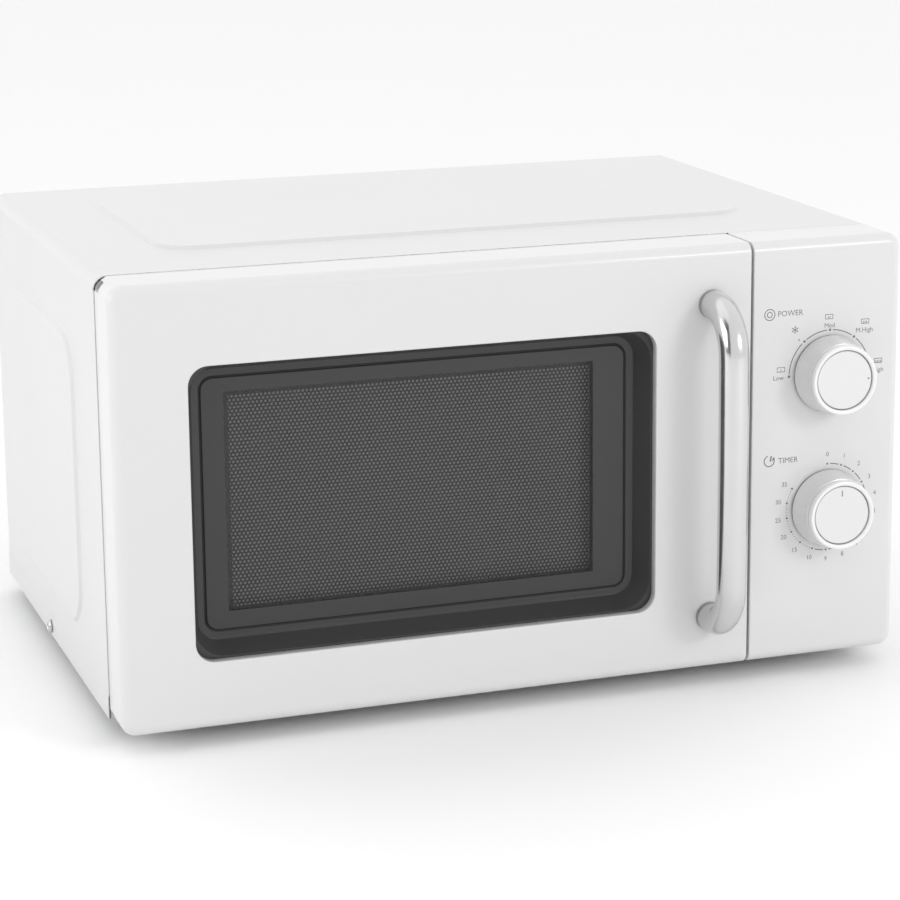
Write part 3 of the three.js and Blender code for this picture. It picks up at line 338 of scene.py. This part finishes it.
spun(shape, tray_profile, Vector((hub.x, hub.y, underside)), (0, 0, 1), 96)
for turn in range(3):
    angle = math.tau * (turn + 0.5) / 3
    lug = Vector((hub.x, hub.y, underside)) + Vector((math.cos(angle), math.sin(angle), 0)) * 12 * MM
    spun(shape, [(0, -4.5), (1.4, -4.5), (2, -3.9), (2, -0.02), (0, -0.02)], lug, (0, 0, 1), 20)
new_piece("turntable_glass", shape, glass, "turntable", ["glass_tray"])

# ------------------------------------------------------------------ back panel
# The back is a flat zinc-coated sheet with rows of slots for the fan and the warm air, and a rubber gland
# for the mains cord.
give("back_panel", zinc)
give("cord_gland", rubber)

# ------------------------------------------------------------------ cover
# The cover is one sheet of white enamelled steel bent down over the top and both sides. Its top and sides
# are stiffened by a raised rectangle with rounded corners, and its lower edges step out a little.
white_enamel = finish("white_enamel", (0.67, 0.67, 0.67), 0.36, 420, 0.00004, 0.03, Coat_Weight=0.25,
                      Coat_Roughness=0.25)
corner_radius = 8 * MM


def set_in(shape, face, centre, size, radius):
    """Cuts a rectangle with rounded corners into a flat face, and returns it as a face of its own."""
    facing = face.normal.copy()
    across = Vector((0, 1, 0)) if abs(facing.x) > 0.9 else Vector((1, 0, 0))
    up = Vector((0, 1, 0)) if abs(facing.z) > 0.9 else Vector((0, 0, 1))
    rim = list(face.edges)
    bmesh.ops.delete(shape, geom=[face], context="FACES_ONLY")
    points = [shape.verts.new(centre + across * size[0] / 2 * u + up * size[1] / 2 * v)
              for u, v in ((-1, -1), (1, -1), (1, 1), (-1, 1))]
    panel = shape.faces.new(points)
    made = bmesh.ops.bevel(shape, geom=points, offset=radius, segments=12, profile=0.5, affect="VERTICES",
                           material=-1)
    edges = set(made["edges"]) | {edge for vert in made["verts"] for edge in vert.link_edges}
    panel = max({face for edge in edges for face in edge.link_faces}, key=lambda face: len(face.verts))
    panel.normal_update()
    if panel.normal.dot(facing) < 0:
        bmesh.ops.reverse_faces(shape, faces=[panel])
    bmesh.ops.triangle_fill(shape, use_beauty=True, edges=rim + list(panel.edges), normal=facing)
    return panel


def stepped(shape, face, steps):
    """Insets a face again and again; each step is (width, height) in millimetres."""
    for across, up in steps:
        bmesh.ops.inset_region(shape, faces=[face], thickness=across * MM, depth=up * MM,
                               use_even_offset=True, use_boundary=True)


def bevel(shape, edges, radius, segments):
    bmesh.ops.bevel(shape, geom=edges, offset=radius, segments=segments, profile=0.5, affect="EDGES",
                    material=-1)


def box_shape(lo, hi):
    shape = bmesh.new()
    bmesh.ops.create_cube(shape, size=1)
    bmesh.ops.scale(shape, vec=hi - lo, verts=shape.verts)
    bmesh.ops.translate(shape, vec=(lo + hi) / 2, verts=shape.verts)
    return shape


def lies(element, axis, value):
    """Whether all of an edge or face lies in the plane where that axis has that value."""
    return all(abs(vert.co[axis] - value) < 1e-6 for vert in element.verts)


shape = box_shape(cover_lo, cover_hi)
bmesh.ops.delete(shape, geom=[face for face in shape.faces if lies(face, 1, cover_lo.y) or
                              lies(face, 1, cover_hi.y) or lies(face, 2, cover_lo.z)], context="FACES")
bevel(shape, [edge for edge in shape.edges if lies(edge, 2, cover_hi.z) and
              (lies(edge, 0, cover_lo.x) or lies(edge, 0, cover_hi.x))], corner_radius, 10)
step_up, step_out = (12.4, 13.6), 0.4 * MM
for level in step_up:
    bmesh.ops.bisect_plane(shape, geom=shape.verts[:] + shape.edges[:] + shape.faces[:],
                           plane_co=at(0, 0, level), plane_no=(0, 0, 1))
for vert in shape.verts:
    if vert.co.z > at(0, 0, step_up[0]).z + 1e-6 and abs(vert.co.x) > cover_hi.x - 1e-6:
        vert.co.x -= math.copysign(step_out, vert.co.x)
ridge = [(0.5, 0.15), (0.8, 0.65), (0.8, 0.65), (0.5, 0.15), (1.2, 0)]
cover_size = cover_hi - cover_lo
top_margins, side_margins = (100 * MM, 107 * MM), (96 * MM, 73.5 * MM)
top_stamp = Vector((cover_size.x - top_margins[0], cover_size.y - top_margins[1], 0))
side_stamp = Vector((cover_size.y - side_margins[0], cover_size.z - side_margins[1], 0))
top = max(shape.faces, key=lambda face: face.normal.z * face.calc_area())
middle = Vector((0, (cover_lo.y + cover_hi.y) / 2 + 6 * MM, cover_hi.z))
stepped(shape, set_in(shape, top, middle, top_stamp, 22 * MM), ridge)
for side in (-1, 1):
    wall = max(shape.faces, key=lambda face: face.normal.x * side * face.calc_area())
    middle = Vector((wall.calc_center_median().x, (cover_lo.y + cover_hi.y) / 2 + 14 * MM, at(0, 0, 113.2).z))
    stepped(shape, set_in(shape, wall, middle, side_stamp, 28 * MM), ridge)
bmesh.ops.remove_doubles(shape, verts=shape.verts, dist=1e-6)
cover = new_piece("cover_sheet", shape, white_enamel, "cabinet", ["outer_cover"])
modifier(cover, "SOLIDIFY", thickness=1 * MM, offset=-1, use_even_offset=True)
modifier(cover, "WEIGHTED_NORMAL", weight=80, keep_sharp=True)

# ------------------------------------------------------------------ case screws
# Two plated pan-head screws with a cross recess hold the lower edges of the cover to the base. There is one
# on each side.
plated = finish("plated_screw", (0.66, 0.66, 0.65), 0.22, 1500, 0.000008, 0.1, 1.0)


def cross_head(shape, centre, axis, radius, rise):
    """A domed screw head with a cross recess; the sizes are in millimetres."""
    new = bmesh.new()
    dome = [(radius, 0), (radius, rise * 0.3), (radius * 0.86, rise * 0.75), (radius * 0.6, rise)]
    spun(new, dome, Vector(), (0, 0, 1), 40)
    rim = [edge for edge in new.edges if lies(edge, 2, rise * MM)]
    long, wide = radius * 0.5 * MM, radius * 0.12 * MM
    outline = [(long, -wide), (long, wide), (wide, wide)]
    cross = []
    for quarter in range(4):
        turn = Matrix.Rotation(quarter * math.pi / 2, 3, "Z")
        cross += [new.verts.new(turn @ Vector((x, y, rise * MM))) for x, y in outline]
    recess = new.faces.new(cross)
    bmesh.ops.triangle_fill(new, use_beauty=True, edges=rim + list(recess.edges), normal=(0, 0, 1))
    bmesh.ops.inset_region(new, faces=[recess], thickness=wide * 0.3, depth=-rise * 0.7 * MM)
    bmesh.ops.recalc_face_normals(new, faces=new.faces)
    bmesh.ops.transform(new, verts=new.verts, matrix=Matrix.Translation(centre) @
                        Vector(axis).to_track_quat("Z", "Y").to_matrix().to_4x4())
    whole = bpy.data.meshes.new("screw_head")
    new.to_mesh(whole)
    new.free()
    shape.from_mesh(whole)
    bpy.data.meshes.remove(whole)


for node, side in (("case_screw_left", -1), ("case_screw_right", 1)):
    screw_lo, screw_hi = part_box(node)
    seat = (screw_lo + screw_hi) / 2
    seat.x = side * (cover_hi.x + 0.25 * MM)
    shape = bmesh.new()
    cross_head(shape, seat, (side, 0, 0), 4, 2)
    spun(shape, [(4, 0), (1.7, 0), (1.7, -6), (0, -6.6)], seat, (side, 0, 0), 40)
    bmesh.ops.remove_doubles(shape, verts=shape.verts, dist=1e-5)
    screw = new_piece(node.replace("case_screw", "cover_screw"), shape, plated, "cabinet",
                      [node])
    modifier(screw, "WEIGHTED_NORMAL", weight=60)

# ------------------------------------------------------------------ door hinges
# Two stamped zinc-coated arms behind the front plate reach round the door's side wall; the door turns on
# their upright pins.
give("hinge_lower", zinc)
give("hinge_upper", zinc)

# ------------------------------------------------------------------ door slab
# The front of the door is one white moulding, open at the back: 35 mm deep, its three outer edges rounded,
# with a large window whose edge turns in. Two notches in its side wall clear the hinge arms.
white_moulding = finish("white_moulding", (0.71, 0.71, 0.71), 0.30, 1500, 0.00002, 0.02, Coat_Weight=0.15)
edge_radius, seam_radius = 6 * MM, 0.7 * MM


def slab(lo, hi, side):
    """A deep moulding open at the back. `side` is -1 or 1, the side whose edges are rounded."""
    outer, seam = (lo.x, hi.x) if side < 0 else (hi.x, lo.x)
    shape = box_shape(lo, hi)
    bevel(shape, [edge for edge in shape.edges if lies(edge, 0, outer) and
                  (lies(edge, 2, lo.z) or lies(edge, 2, hi.z))], corner_radius, 12)
    bevel(shape, [edge for edge in shape.edges if lies(edge, 1, lo.y) and not lies(edge, 0, seam)],
          edge_radius, 10)
    bevel(shape, [edge for edge in shape.edges if lies(edge, 0, seam) and not lies(edge, 1, hi.y)],
          seam_radius, 4)
    bmesh.ops.delete(shape, geom=[face for face in shape.faces if lies(face, 1, hi.y)], context="FACES")
    return shape


def front_of(shape):
    return max(shape.faces, key=lambda face: -face.normal.y * face.calc_area())


def hollow(piece, wall):
    modifier(piece, "SOLIDIFY", thickness=wall * MM, offset=-1, use_even_offset=True)
    modifier(piece, "WEIGHTED_NORMAL", weight=80, keep_sharp=True)


window = (at(40.2, 0, 36.6), at(303.5, 0, 197.9))
window_middle = (window[0] + window[1]) / 2
window_size = Vector((window[1].x - window[0].x, window[1].z - window[0].z, 0))
rounding = 0.8 * MM
shape = slab(slab_lo, slab_hi, -1)
grown = window_size + Vector((2, 2, 0)) * rounding * 0.4
hole = set_in(shape, front_of(shape), window_middle, grown, 11.5 * MM)
stepped(shape, hole, [(0.35, -0.08), (0.28, -0.25), (0.15, -0.42), (0.02, -4.75)])
bmesh.ops.delete(shape, geom=[hole], context="FACES")
notches, notch_front = [(1.3, 6.6), (235.4, 240.7)], 23.4
chamfer, chamfer_front, back_rim = 3.5 * MM, 31.5, 34.9
cuts = [((0, 1, 0), at(0, depth, 0)) for depth in (notch_front, chamfer_front)]
cuts += [((0, 0, 1), at(0, 0, level)) for levels in notches for level in levels]
for facing, through in cuts:
    bmesh.ops.bisect_plane(shape, geom=shape.verts[:] + shape.edges[:] + shape.faces[:], plane_co=through,
                           plane_no=facing)
cleared = []
for face in shape.faces:
    middle = face.calc_center_median() - corner
    in_side_wall = middle.x < 4 * MM and middle.y > notch_front * MM
    if in_side_wall and any(low * MM < middle.z < high * MM for low, high in notches):
        cleared.append(face)
bmesh.ops.delete(shape, geom=cleared, context="FACES")
for vert in shape.verts:
    inset = vert.co - corner
    if inset.y > back_rim * MM and inset.x < corner_radius:
        vert.co.x += chamfer * (1 - inset.x / corner_radius)
door = new_piece("door_slab", shape, white_moulding, "door", ["door_frame"])
hollow(door, 2.4)

# ------------------------------------------------------------------ door window
# The window is a deep tray moulded in smoked plastic and held behind the opening: its sides lean in, a groove
# runs round its floor, and inside the groove it is clear enough to show the perforated screen.
groove = (at(50.4, 0, 48.3), at(293.4, 0, 186.3))
smoke = (0.045, 0.0455, 0.0465)
smoked, place, wire = new_material("smoked_plastic", smoke, 0.16)
scuffs = place.noise(500, 3, (1, 1, 5))
clear = (at(64, 0, 58), at(273.5, 0, 178.5))
inside = place.part("X").between(clear[0].x, clear[1].x) * place.part("Z").between(clear[0].z, clear[1].z)
# Painted light and shade: the leaning sides are painted lighter as if lit, the groove nearly black as shade.
groove_depths, side_depth = (20.75, 22.45), 20.3
painted_shade_groove = place.part("Y").between(*(at(0, depth, 0).y for depth in groove_depths)) * (1 - inside)
painted_lighter_sides = place.part("Y") < at(0, side_depth, 0).y
painted_light_and_shade = 0.5 + 0.25 * painted_lighter_sides - 0.5 * painted_shade_groove
groove_shade_smoke, clearness = (0.008, 0.008, 0.008), 0.70
wire(Base_Color=painted_light_and_shade.shaded(groove_shade_smoke, 7.2), Roughness=0.14 + 0.08 * scuffs + 0.4 * (painted_shade_groove + painted_lighter_sides),
     Normal=scuffs.bump(0.00001, 0.4), Alpha=1 - clearness * inside)
flange, flange_back = 6, 5.8
depth_of_tray, side_run = 14.7, 6.6
shape = bmesh.new()
face_size = window_size + Vector((2, 2, 0)) * flange * MM
middle = window_middle + Vector((0, flange_back * MM, 0))
half = Vector((face_size.x / 2, 0, face_size.y / 2))
points = [shape.verts.new(middle + Vector((half.x * u, 0, half.z * v)))
          for u, v in ((-1, -1), (1, -1), (1, 1), (-1, 1))]
shape.faces.new(points)
bmesh.ops.bevel(shape, geom=points, offset=24 * MM, segments=14, profile=0.5, affect="VERTICES", material=-1)
tray_face = max(shape.faces, key=lambda face: len(face.verts))
tray_face.normal_update()
if tray_face.normal.y > 0:
    bmesh.ops.reverse_faces(shape, faces=[tray_face])
floor_margin = groove[0].x - window[0].x
stepped(shape, tray_face, [(flange + 1.3, 0), (0.3, -0.3), (4.6, -depth_of_tray + 0.6), (0.4, -0.3),
                           (floor_margin / MM - side_run, 0), (0.2, -1.1), (1.3, 0), (0.2, 1.1)])
tray = new_piece("window_tray", shape, smoked, "door", ["door_screen"])
hollow(tray, 1.6)

# ------------------------------------------------------------------ perforated screen
# Behind the window lies a pressed steel pan, enamelled dark grey. Its middle is pierced with thousands of
# small holes, too small for microwaves, and a pale film behind them keeps steam out.
pan_grey = (0.10, 0.10, 0.102)
dark_enamel = finish("dark_enamel", pan_grey, 0.4, 500, 0.00003, 0.15)
pan_lo, pan_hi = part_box("door_pan")
shape = box_shape(pan_lo, pan_hi)
bevel(shape, [edge for edge in shape.edges if not lies(edge, 1, pan_lo.y) and not lies(edge, 1, pan_hi.y)],
      4 * MM, 6)
bevel(shape, [edge for edge in shape.edges if lies(edge, 1, pan_lo.y)], 2 * MM, 4)
bmesh.ops.delete(shape, geom=[face for face in shape.faces if lies(face, 1, pan_hi.y)], context="FACES")
pitch = 2.3 * MM
row = pitch * math.sqrt(3)
across, up = 90, 30
half_web = 0.46 * MM
field_size = Vector(((across + 0.5) * pitch, (up - 0.1) * row, 0))
field_middle = Vector((at(171.5, 0, 0).x, pan_lo.y, at(0, 0, 116.5).z))
opening_size = field_size - Vector((1, 1, 0)) * pitch * 0.8
field_hole = set_in(shape, front_of(shape), field_middle, opening_size, 1 * MM)
bmesh.ops.delete(shape, geom=[field_hole], context="FACES")
pan = new_piece("screen_pan", shape, dark_enamel, "door", ["door_pan"])
hollow(pan, 0.9)

shape = bmesh.new()
first = field_middle - Vector((field_size.x / 2 - pitch / 2, -1.0 * MM, field_size.y / 2 - row * 0.3))
for shift in (Vector((0, 0, 0)), Vector((pitch / 2, 0, row / 2))):
    bmesh.ops.create_circle(shape, cap_ends=True, segments=6, radius=pitch / math.sqrt(3),
                            matrix=Matrix.Translation(first + shift) @ Matrix.Rotation(math.pi / 2, 4, "X"))
cells = shape.faces[:]
bmesh.ops.inset_individual(shape, faces=cells, thickness=half_web, use_even_offset=True)
bmesh.ops.delete(shape, geom=cells, context="FACES")
field = new_piece("perforated_field", shape, dark_enamel, "door")
for count, offset in ((across, (pitch, 0, 0)), (up, (0, 0, row))):
    modifier(field, "ARRAY", count=count, use_relative_offset=False, use_constant_offset=True,
             constant_offset_displace=offset, use_merge_vertices=True, merge_threshold=0.02 * MM)
modifier(field, "SOLIDIFY", thickness=0.6 * MM, offset=-1)
field.data.shade_flat()

film, place, wire = new_material("pale_film", (0.80, 0.81, 0.82), 0.3)
wire(Base_Color=place.noise(40, 3).shaded((0.92, 0.92, 0.92), 0.97), Roughness=0.25 + 0.2 * place.noise(300),
     Alpha=0.55 + 0.04 * place.noise(900))
give("door_film", film)
give("door_choke_cover", grey_plastic)

# ------------------------------------------------------------------ handle
# The handle is a steel tube bent at both ends and bowed a little, satin chrome plated, and screwed on from
# inside the door.
chrome, place, wire = new_material("satin_chrome", (0.68, 0.68, 0.68), 0.2, 1.0)
polish = place.noise(900, 3, (1, 1, 0.05))
wire(Base_Color=place.noise(30).shaded((0.68, 0.68, 0.68), 0.95), Roughness=0.16 + 0.07 * polish,
     Normal=polish.bump(0.000006, 0.4))
handle_lo, handle_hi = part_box("door_handle")
tube = (handle_hi.x - handle_lo.x) / 2
handle_x = (handle_lo.x + handle_hi.x) / 2
ends = (handle_lo.z + tube, handle_hi.z - tube)
bend, bow = 24 * MM, 1.3 * MM
reach = handle_lo.y + tube + bow
shape = bmesh.new()
start = Vector((handle_x, handle_hi.y, ends[0]))
bmesh.ops.create_circle(shape, segments=48, radius=tube,
                        matrix=Matrix.Translation(start) @ Matrix.Rotation(math.pi / 2, 4, "X"))


def pulled(shape, edges, move, steps=1):
    for _ in range(steps):
        made = bmesh.ops.extrude_edge_only(shape, edges=edges)["geom"]
        edges = [part for part in made if isinstance(part, bmesh.types.BMEdge)]
        moved = list({vert for edge in edges for vert in edge.verts})
        bmesh.ops.translate(shape, vec=move / steps, verts=moved)
    return edges


def bent(shape, edges, centre, angle, steps=14):
    made = bmesh.ops.spin(shape, geom=edges, cent=centre, axis=(1, 0, 0), angle=angle, steps=steps)
    return [part for part in made["geom_last"] if isinstance(part, bmesh.types.BMEdge)]


turn_in = reach + bend
loop = pulled(shape, shape.edges[:], Vector((0, turn_in - start.y, 0)))
loop = bent(shape, loop, Vector((handle_x, turn_in, ends[0] + bend)), -math.pi / 2)
loop = pulled(shape, loop, Vector((0, 0, ends[1] - ends[0] - 2 * bend)), 20)
loop = bent(shape, loop, Vector((handle_x, turn_in, ends[1] - bend)), -math.pi / 2)
pulled(shape, loop, Vector((0, start.y - turn_in, 0)))
bmesh.ops.remove_doubles(shape, verts=shape.verts, dist=1e-6)
half_span, mid_z = (ends[1] - ends[0]) / 2, (ends[0] + ends[1]) / 2
for vert in shape.verts:
    up_share = (vert.co.z - mid_z) / half_span
    out_share = min(1, max(0, (start.y - vert.co.y) / (start.y - reach)))
    vert.co.y -= bow * max(0, 1 - up_share ** 2) * out_share
bmesh.ops.recalc_face_normals(shape, faces=shape.faces)
handle = new_piece("handle_tube", shape, chrome, "door", ["door_handle"])
modifier(handle, "SOLIDIFY", thickness=1.2 * MM, offset=-1)
give("handle_screw_lower", plated)
give("handle_screw_upper", plated)

# ------------------------------------------------------------------ door hook
# A grey moulded hook slides in the door behind the handle and is pulled down by a small spring; its two heads
# reach through the front plate to the switches.
give("door_hook", grey_plastic)
give("hook_spring", plated)

# ------------------------------------------------------------------ control panel
# The control panel is the same kind of moulding as the door slab, rounded on its right side, with a round
# hole behind each dial for its shaft.
panel_lo, panel_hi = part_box("control_panel")
dials = {}
for name in ("power", "timer"):
    knob_lo, knob_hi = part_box(f"{name}_knob")
    dials[name] = Vector(((knob_lo.x + knob_hi.x) / 2, panel_lo.y, (knob_lo.z + knob_hi.z) / 2))
shape = slab(panel_lo, panel_hi, 1)
for name in dials:
    hole = set_in(shape, front_of(shape), dials[name], Vector((9.8, 9.8, 0)) * MM, 4.85 * MM)
    stepped(shape, hole, [(0.2, -0.2), (0.01, -2.4)])
    bmesh.ops.delete(shape, geom=[hole], context="FACES")
panel = new_piece("dial_panel", shape, white_moulding, "cabinet", ["control_panel"])
hollow(panel, 2.4)

# ------------------------------------------------------------------ timer, selector and switches
# Behind the panel are the clockwork timer with its steel bell, the power selector, and the three door
# switches.
for node in ("timer_unit", "power_selector", "primary_switch", "monitor_switch", "secondary_switch"):
    give(node, dark_plastic)
give("timer_bell", plated)

# ------------------------------------------------------------------ dials
# Each knob is moulded hollow with a tapered silver-grey skirt, a fine groove and a bright bevelled ring round
# the front; a flat cap with a pointer mark snaps into the ring.
skirt_grey, ring_white, contact_shadow_grey = (0.68, 0.68, 0.685), (0.84, 0.84, 0.84), (0.10, 0.10, 0.105)
knob_paint, place, wire = new_material("silver_moulding", skirt_grey, 0.3, 0.15, Coat_Weight=0.3)
ring_start = panel_lo.y - 18.3 * MM
bright = place.part("Y") < ring_start
speckle = place.noise(1500, 2)
base = bright.node("ShaderNodeMix", {"data_type": "RGBA"}, 2, i0=bright, i6=(*skirt_grey, 1),
                   i7=(*ring_white, 1))
# The back 1.5 mm of the skirt is painted dark grey: a painted shadow where the knob meets the panel.
contact_shadow = place.part("Y") > panel_lo.y - 1.5 * MM
base = contact_shadow.node("ShaderNodeMix", {"data_type": "RGBA"}, 2, i0=contact_shadow, i6=base, i7=(*contact_shadow_grey, 1))
wire(Base_Color=base, Roughness=0.24 + 0.1 * speckle, Normal=speckle.bump(0.00001, 0.3))
cap_white = finish("cap_moulding", (0.76, 0.76, 0.76), 0.3, 1200, 0.00001, 0.02)
ink = finish("grey_ink", (0.20, 0.20, 0.205), 0.5, 2500, 0.00001, 0.1)
knob_profile = [(0, 15.2), (3.3, 15.2), (3.3, 1.8), (6, 1.8), (6, 15.2), (17.2, 15.2), (20, 0.8), (22, 0.8),
                (22, 1.4), (20.2, 16.0), (19.4, 16.3), (19.4, 17.3), (19.8, 17.6), (19.7, 19.7), (19.4, 20.5),
                (18.9, 20.8), (17.7, 20.6), (17.1, 20.1), (17.0, 17.5), (0, 17.5)]
cap_profile = [(0, 18.6), (16.3, 18.6), (16.5, 19.3), (16.2, 19.6), (0, 19.6)]
marks = {"power": (Vector((14.6, 0, 0)), (1.4, 0.7)), "timer": (Vector((0, 0, 12.6)), (0.6, 3.4))}
front, mark_height = Vector((0, -1, 0)), 19.62
for name, middle in dials.items():
    shape = bmesh.new()
    spun(shape, knob_profile, middle, front, 96)
    knob = new_piece(f"{name}_dial", shape, knob_paint, f"{name}_knob", [f"{name}_knob"])
    soften(knob, 0.12 * MM, 2)
    shape = bmesh.new()
    spun(shape, cap_profile, middle, front, 96)
    cap = new_piece(f"{name}_dial_cap", shape, cap_white, f"{name}_knob",
                    [f"{name}_knob_cap"])
    soften(cap, 0.1 * MM, 2)
    offset, (wide, tall) = marks[name]
    mark = middle + offset * MM + front * mark_height * MM
    half = Vector((wide, 0.08, tall)) * MM / 2
    shape = box_shape(mark - half, mark + half)
    soften(new_piece(f"{name}_pointer", shape, ink, f"{name}_knob"), 0.03 * MM, 1)
    give(f"{name}_shaft", zinc)

# ------------------------------------------------------------------ printed scales
# The scales are pad-printed in grey: a ring of dots and lines round each dial, plain words and numbers, and
# small signs for the heat levels.
ink_height, ink_gap = 0.05 * MM, 0.02


def print_on(name, shape):
    """Lays flat ink, drawn in millimetres in x and z, on the front of the control panel."""
    for face in shape.faces:
        face.normal_update()
        if face.normal.y > 0:
            face.normal_flip()
    for vert in shape.verts:
        vert.co = at(vert.co.x, -ink_gap, vert.co.z)
    bmesh.ops.solidify(shape, geom=shape.faces[:], thickness=ink_height)
    new_piece(name, shape, ink, "cabinet")


def ringed(shape, middle, radius, thick, start, end):
    """An arc of a printed line; the angles are degrees clockwise from the top."""
    steps = max(3, int(abs(end - start) / 4))
    rim = [shape.verts.new((0, 0, radius + side * thick / 2)) for side in (-1, 1)]
    line = shape.edges.new(rim)
    bmesh.ops.spin(shape, geom=[line], cent=(0, 0, 0), axis=(0, 1, 0), angle=math.radians(end - start),
                   steps=steps, use_duplicate=False)
    verts = list({vert for face in shape.faces for vert in face.verts if not vert.tag})
    bmesh.ops.rotate(shape, cent=(0, 0, 0), matrix=Matrix.Rotation(math.radians(start), 3, "Y"), verts=verts)
    bmesh.ops.translate(shape, vec=(middle[0], 0, middle[1]), verts=verts)
    for vert in verts:
        vert.tag = True


def spot(shape, place, radius, segments=12):
    made = bmesh.ops.create_circle(shape, cap_ends=True, segments=segments, radius=radius,
                                   matrix=Matrix.Translation((place[0], 0, place[1])) @
                                   Matrix.Rotation(math.pi / 2, 4, "X"))
    for vert in made["verts"]:
        vert.tag = True


def stroke(shape, place, size, angle=0):
    """A printed bar, so wide and so high, turned by so many degrees."""
    made = bmesh.ops.create_grid(shape, x_segments=1, y_segments=1, size=0.5)
    turn = Matrix.Rotation(math.radians(angle), 4, "Y") @ Matrix.Rotation(math.pi / 2, 4, "X")
    spread = Matrix.Diagonal((size[0], size[1], 1, 1))
    bmesh.ops.transform(shape, verts=made["verts"],
                        matrix=Matrix.Translation((place[0], 0, place[1])) @ turn @ spread)
    for vert in made["verts"]:
        vert.tag = True


def words(shape, text, place, size):
    """Plain lettering centred on a place."""
    curve = bpy.data.curves.new("lettering", "FONT")
    curve.body, curve.size, curve.align_x, curve.align_y = text, size, "CENTER", "CENTER"
    curve.resolution_u = 3
    holder = bpy.data.objects.new("lettering", curve)
    letters = bpy.data.meshes.new_from_object(holder)
    letters.transform(Matrix.Translation((place[0], 0, place[1])) @ Matrix.Rotation(math.pi / 2, 4, "X"))
    shape.from_mesh(letters)
    for vert in shape.verts:
        vert.tag = True
    bpy.data.objects.remove(holder)
    bpy.data.curves.remove(curve)
    bpy.data.meshes.remove(letters)


def about(middle, radius, angle):
    """The place on a circle at an angle, in degrees clockwise from the top."""
    turned = math.radians(angle)
    return (middle[0] + radius * math.sin(turned), middle[1] + radius * math.cos(turned))


power, timer = (((middle.x - corner.x) / MM, (middle.z - corner.z) / MM) for middle in dials.values())
line, scale_radius = 0.55, 24.9
timer_radius = scale_radius + 0.3

shape = bmesh.new()
levels = (-90, -39, 0, 37, 84)
for start, end in zip(levels, levels[1:]):
    ringed(shape, power, scale_radius, line, start + 4, end - 4)
for angle in levels:
    spot(shape, about(power, scale_radius, angle), 0.75)
for radius in (1.5, 3.1):
    ringed(shape, (370.8, 201), radius, 0.5, 0, 360)
words(shape, "POWER", (383.4, 201), 4.5)
for text, place in (("Low", (376.6, 164.6)), ("Med", (407.7, 192.3)), ("M.High", (429.4, 188.2)),
                    ("High", (438.4, 164.6))):
    words(shape, text, place, 3.8)
thaw_sign = (386.4, 191.4)
for angle in (0, 60, 120):
    stroke(shape, thaw_sign, (0.35, 4.4), angle)
for angle in range(0, 360, 60):
    spot(shape, about(thaw_sign, 1.5, angle), 0.4, 6)
for bars, place in ((1, (378.1, 169.3)), (2, (407.3, 197.4)), (3, (429.7, 193.2)), (4, (438.5, 169.9))):
    for edge in (-1, 1):
        stroke(shape, (place[0], place[1] + edge * 1.25), (4.9, 0.35))
    for side in (-1, 1):
        stroke(shape, (place[0] + side * 2.3, place[1]), (0.35, 2.2))
    for bar in range(bars):
        stroke(shape, (place[0] + (bar - (bars - 1) / 2) * 0.95, place[1] - 0.4), (0.4, 1.2))
stroke(shape, about(power, scale_radius + 3, -43), (0.5, 1.3), -20)
print_on("power_scale", shape)

shape = bmesh.new()
minutes = [(minute, minute * 20) for minute in range(11)]
minutes += [(15, 220), (20, 240), (25, 260), (30, 280), (35, 300)]
for minute, angle in minutes:
    words(shape, str(minute), about(timer, 30.7, angle), 3.7)
    spot(shape, about(timer, timer_radius, angle), 0.6)
for minute in range(10):
    ringed(shape, timer, timer_radius, line, minute * 20 + 4, minute * 20 + 16)
for step in range(1, 5 * 5):
    spot(shape, about(timer, timer_radius, 200 + step * 4), 0.3, 8)
ringed(shape, (371.8, 117.3), 3.1, 0.6, 60, 340)
stroke(shape, (372.7, 118.6), (0.9, 3.0), 12)
stroke(shape, (374.3, 118.3), (0.7, 2.2), 28)
words(shape, "TIMER", (383.4, 116.8), 4.5)
print_on("timer_scale", shape)
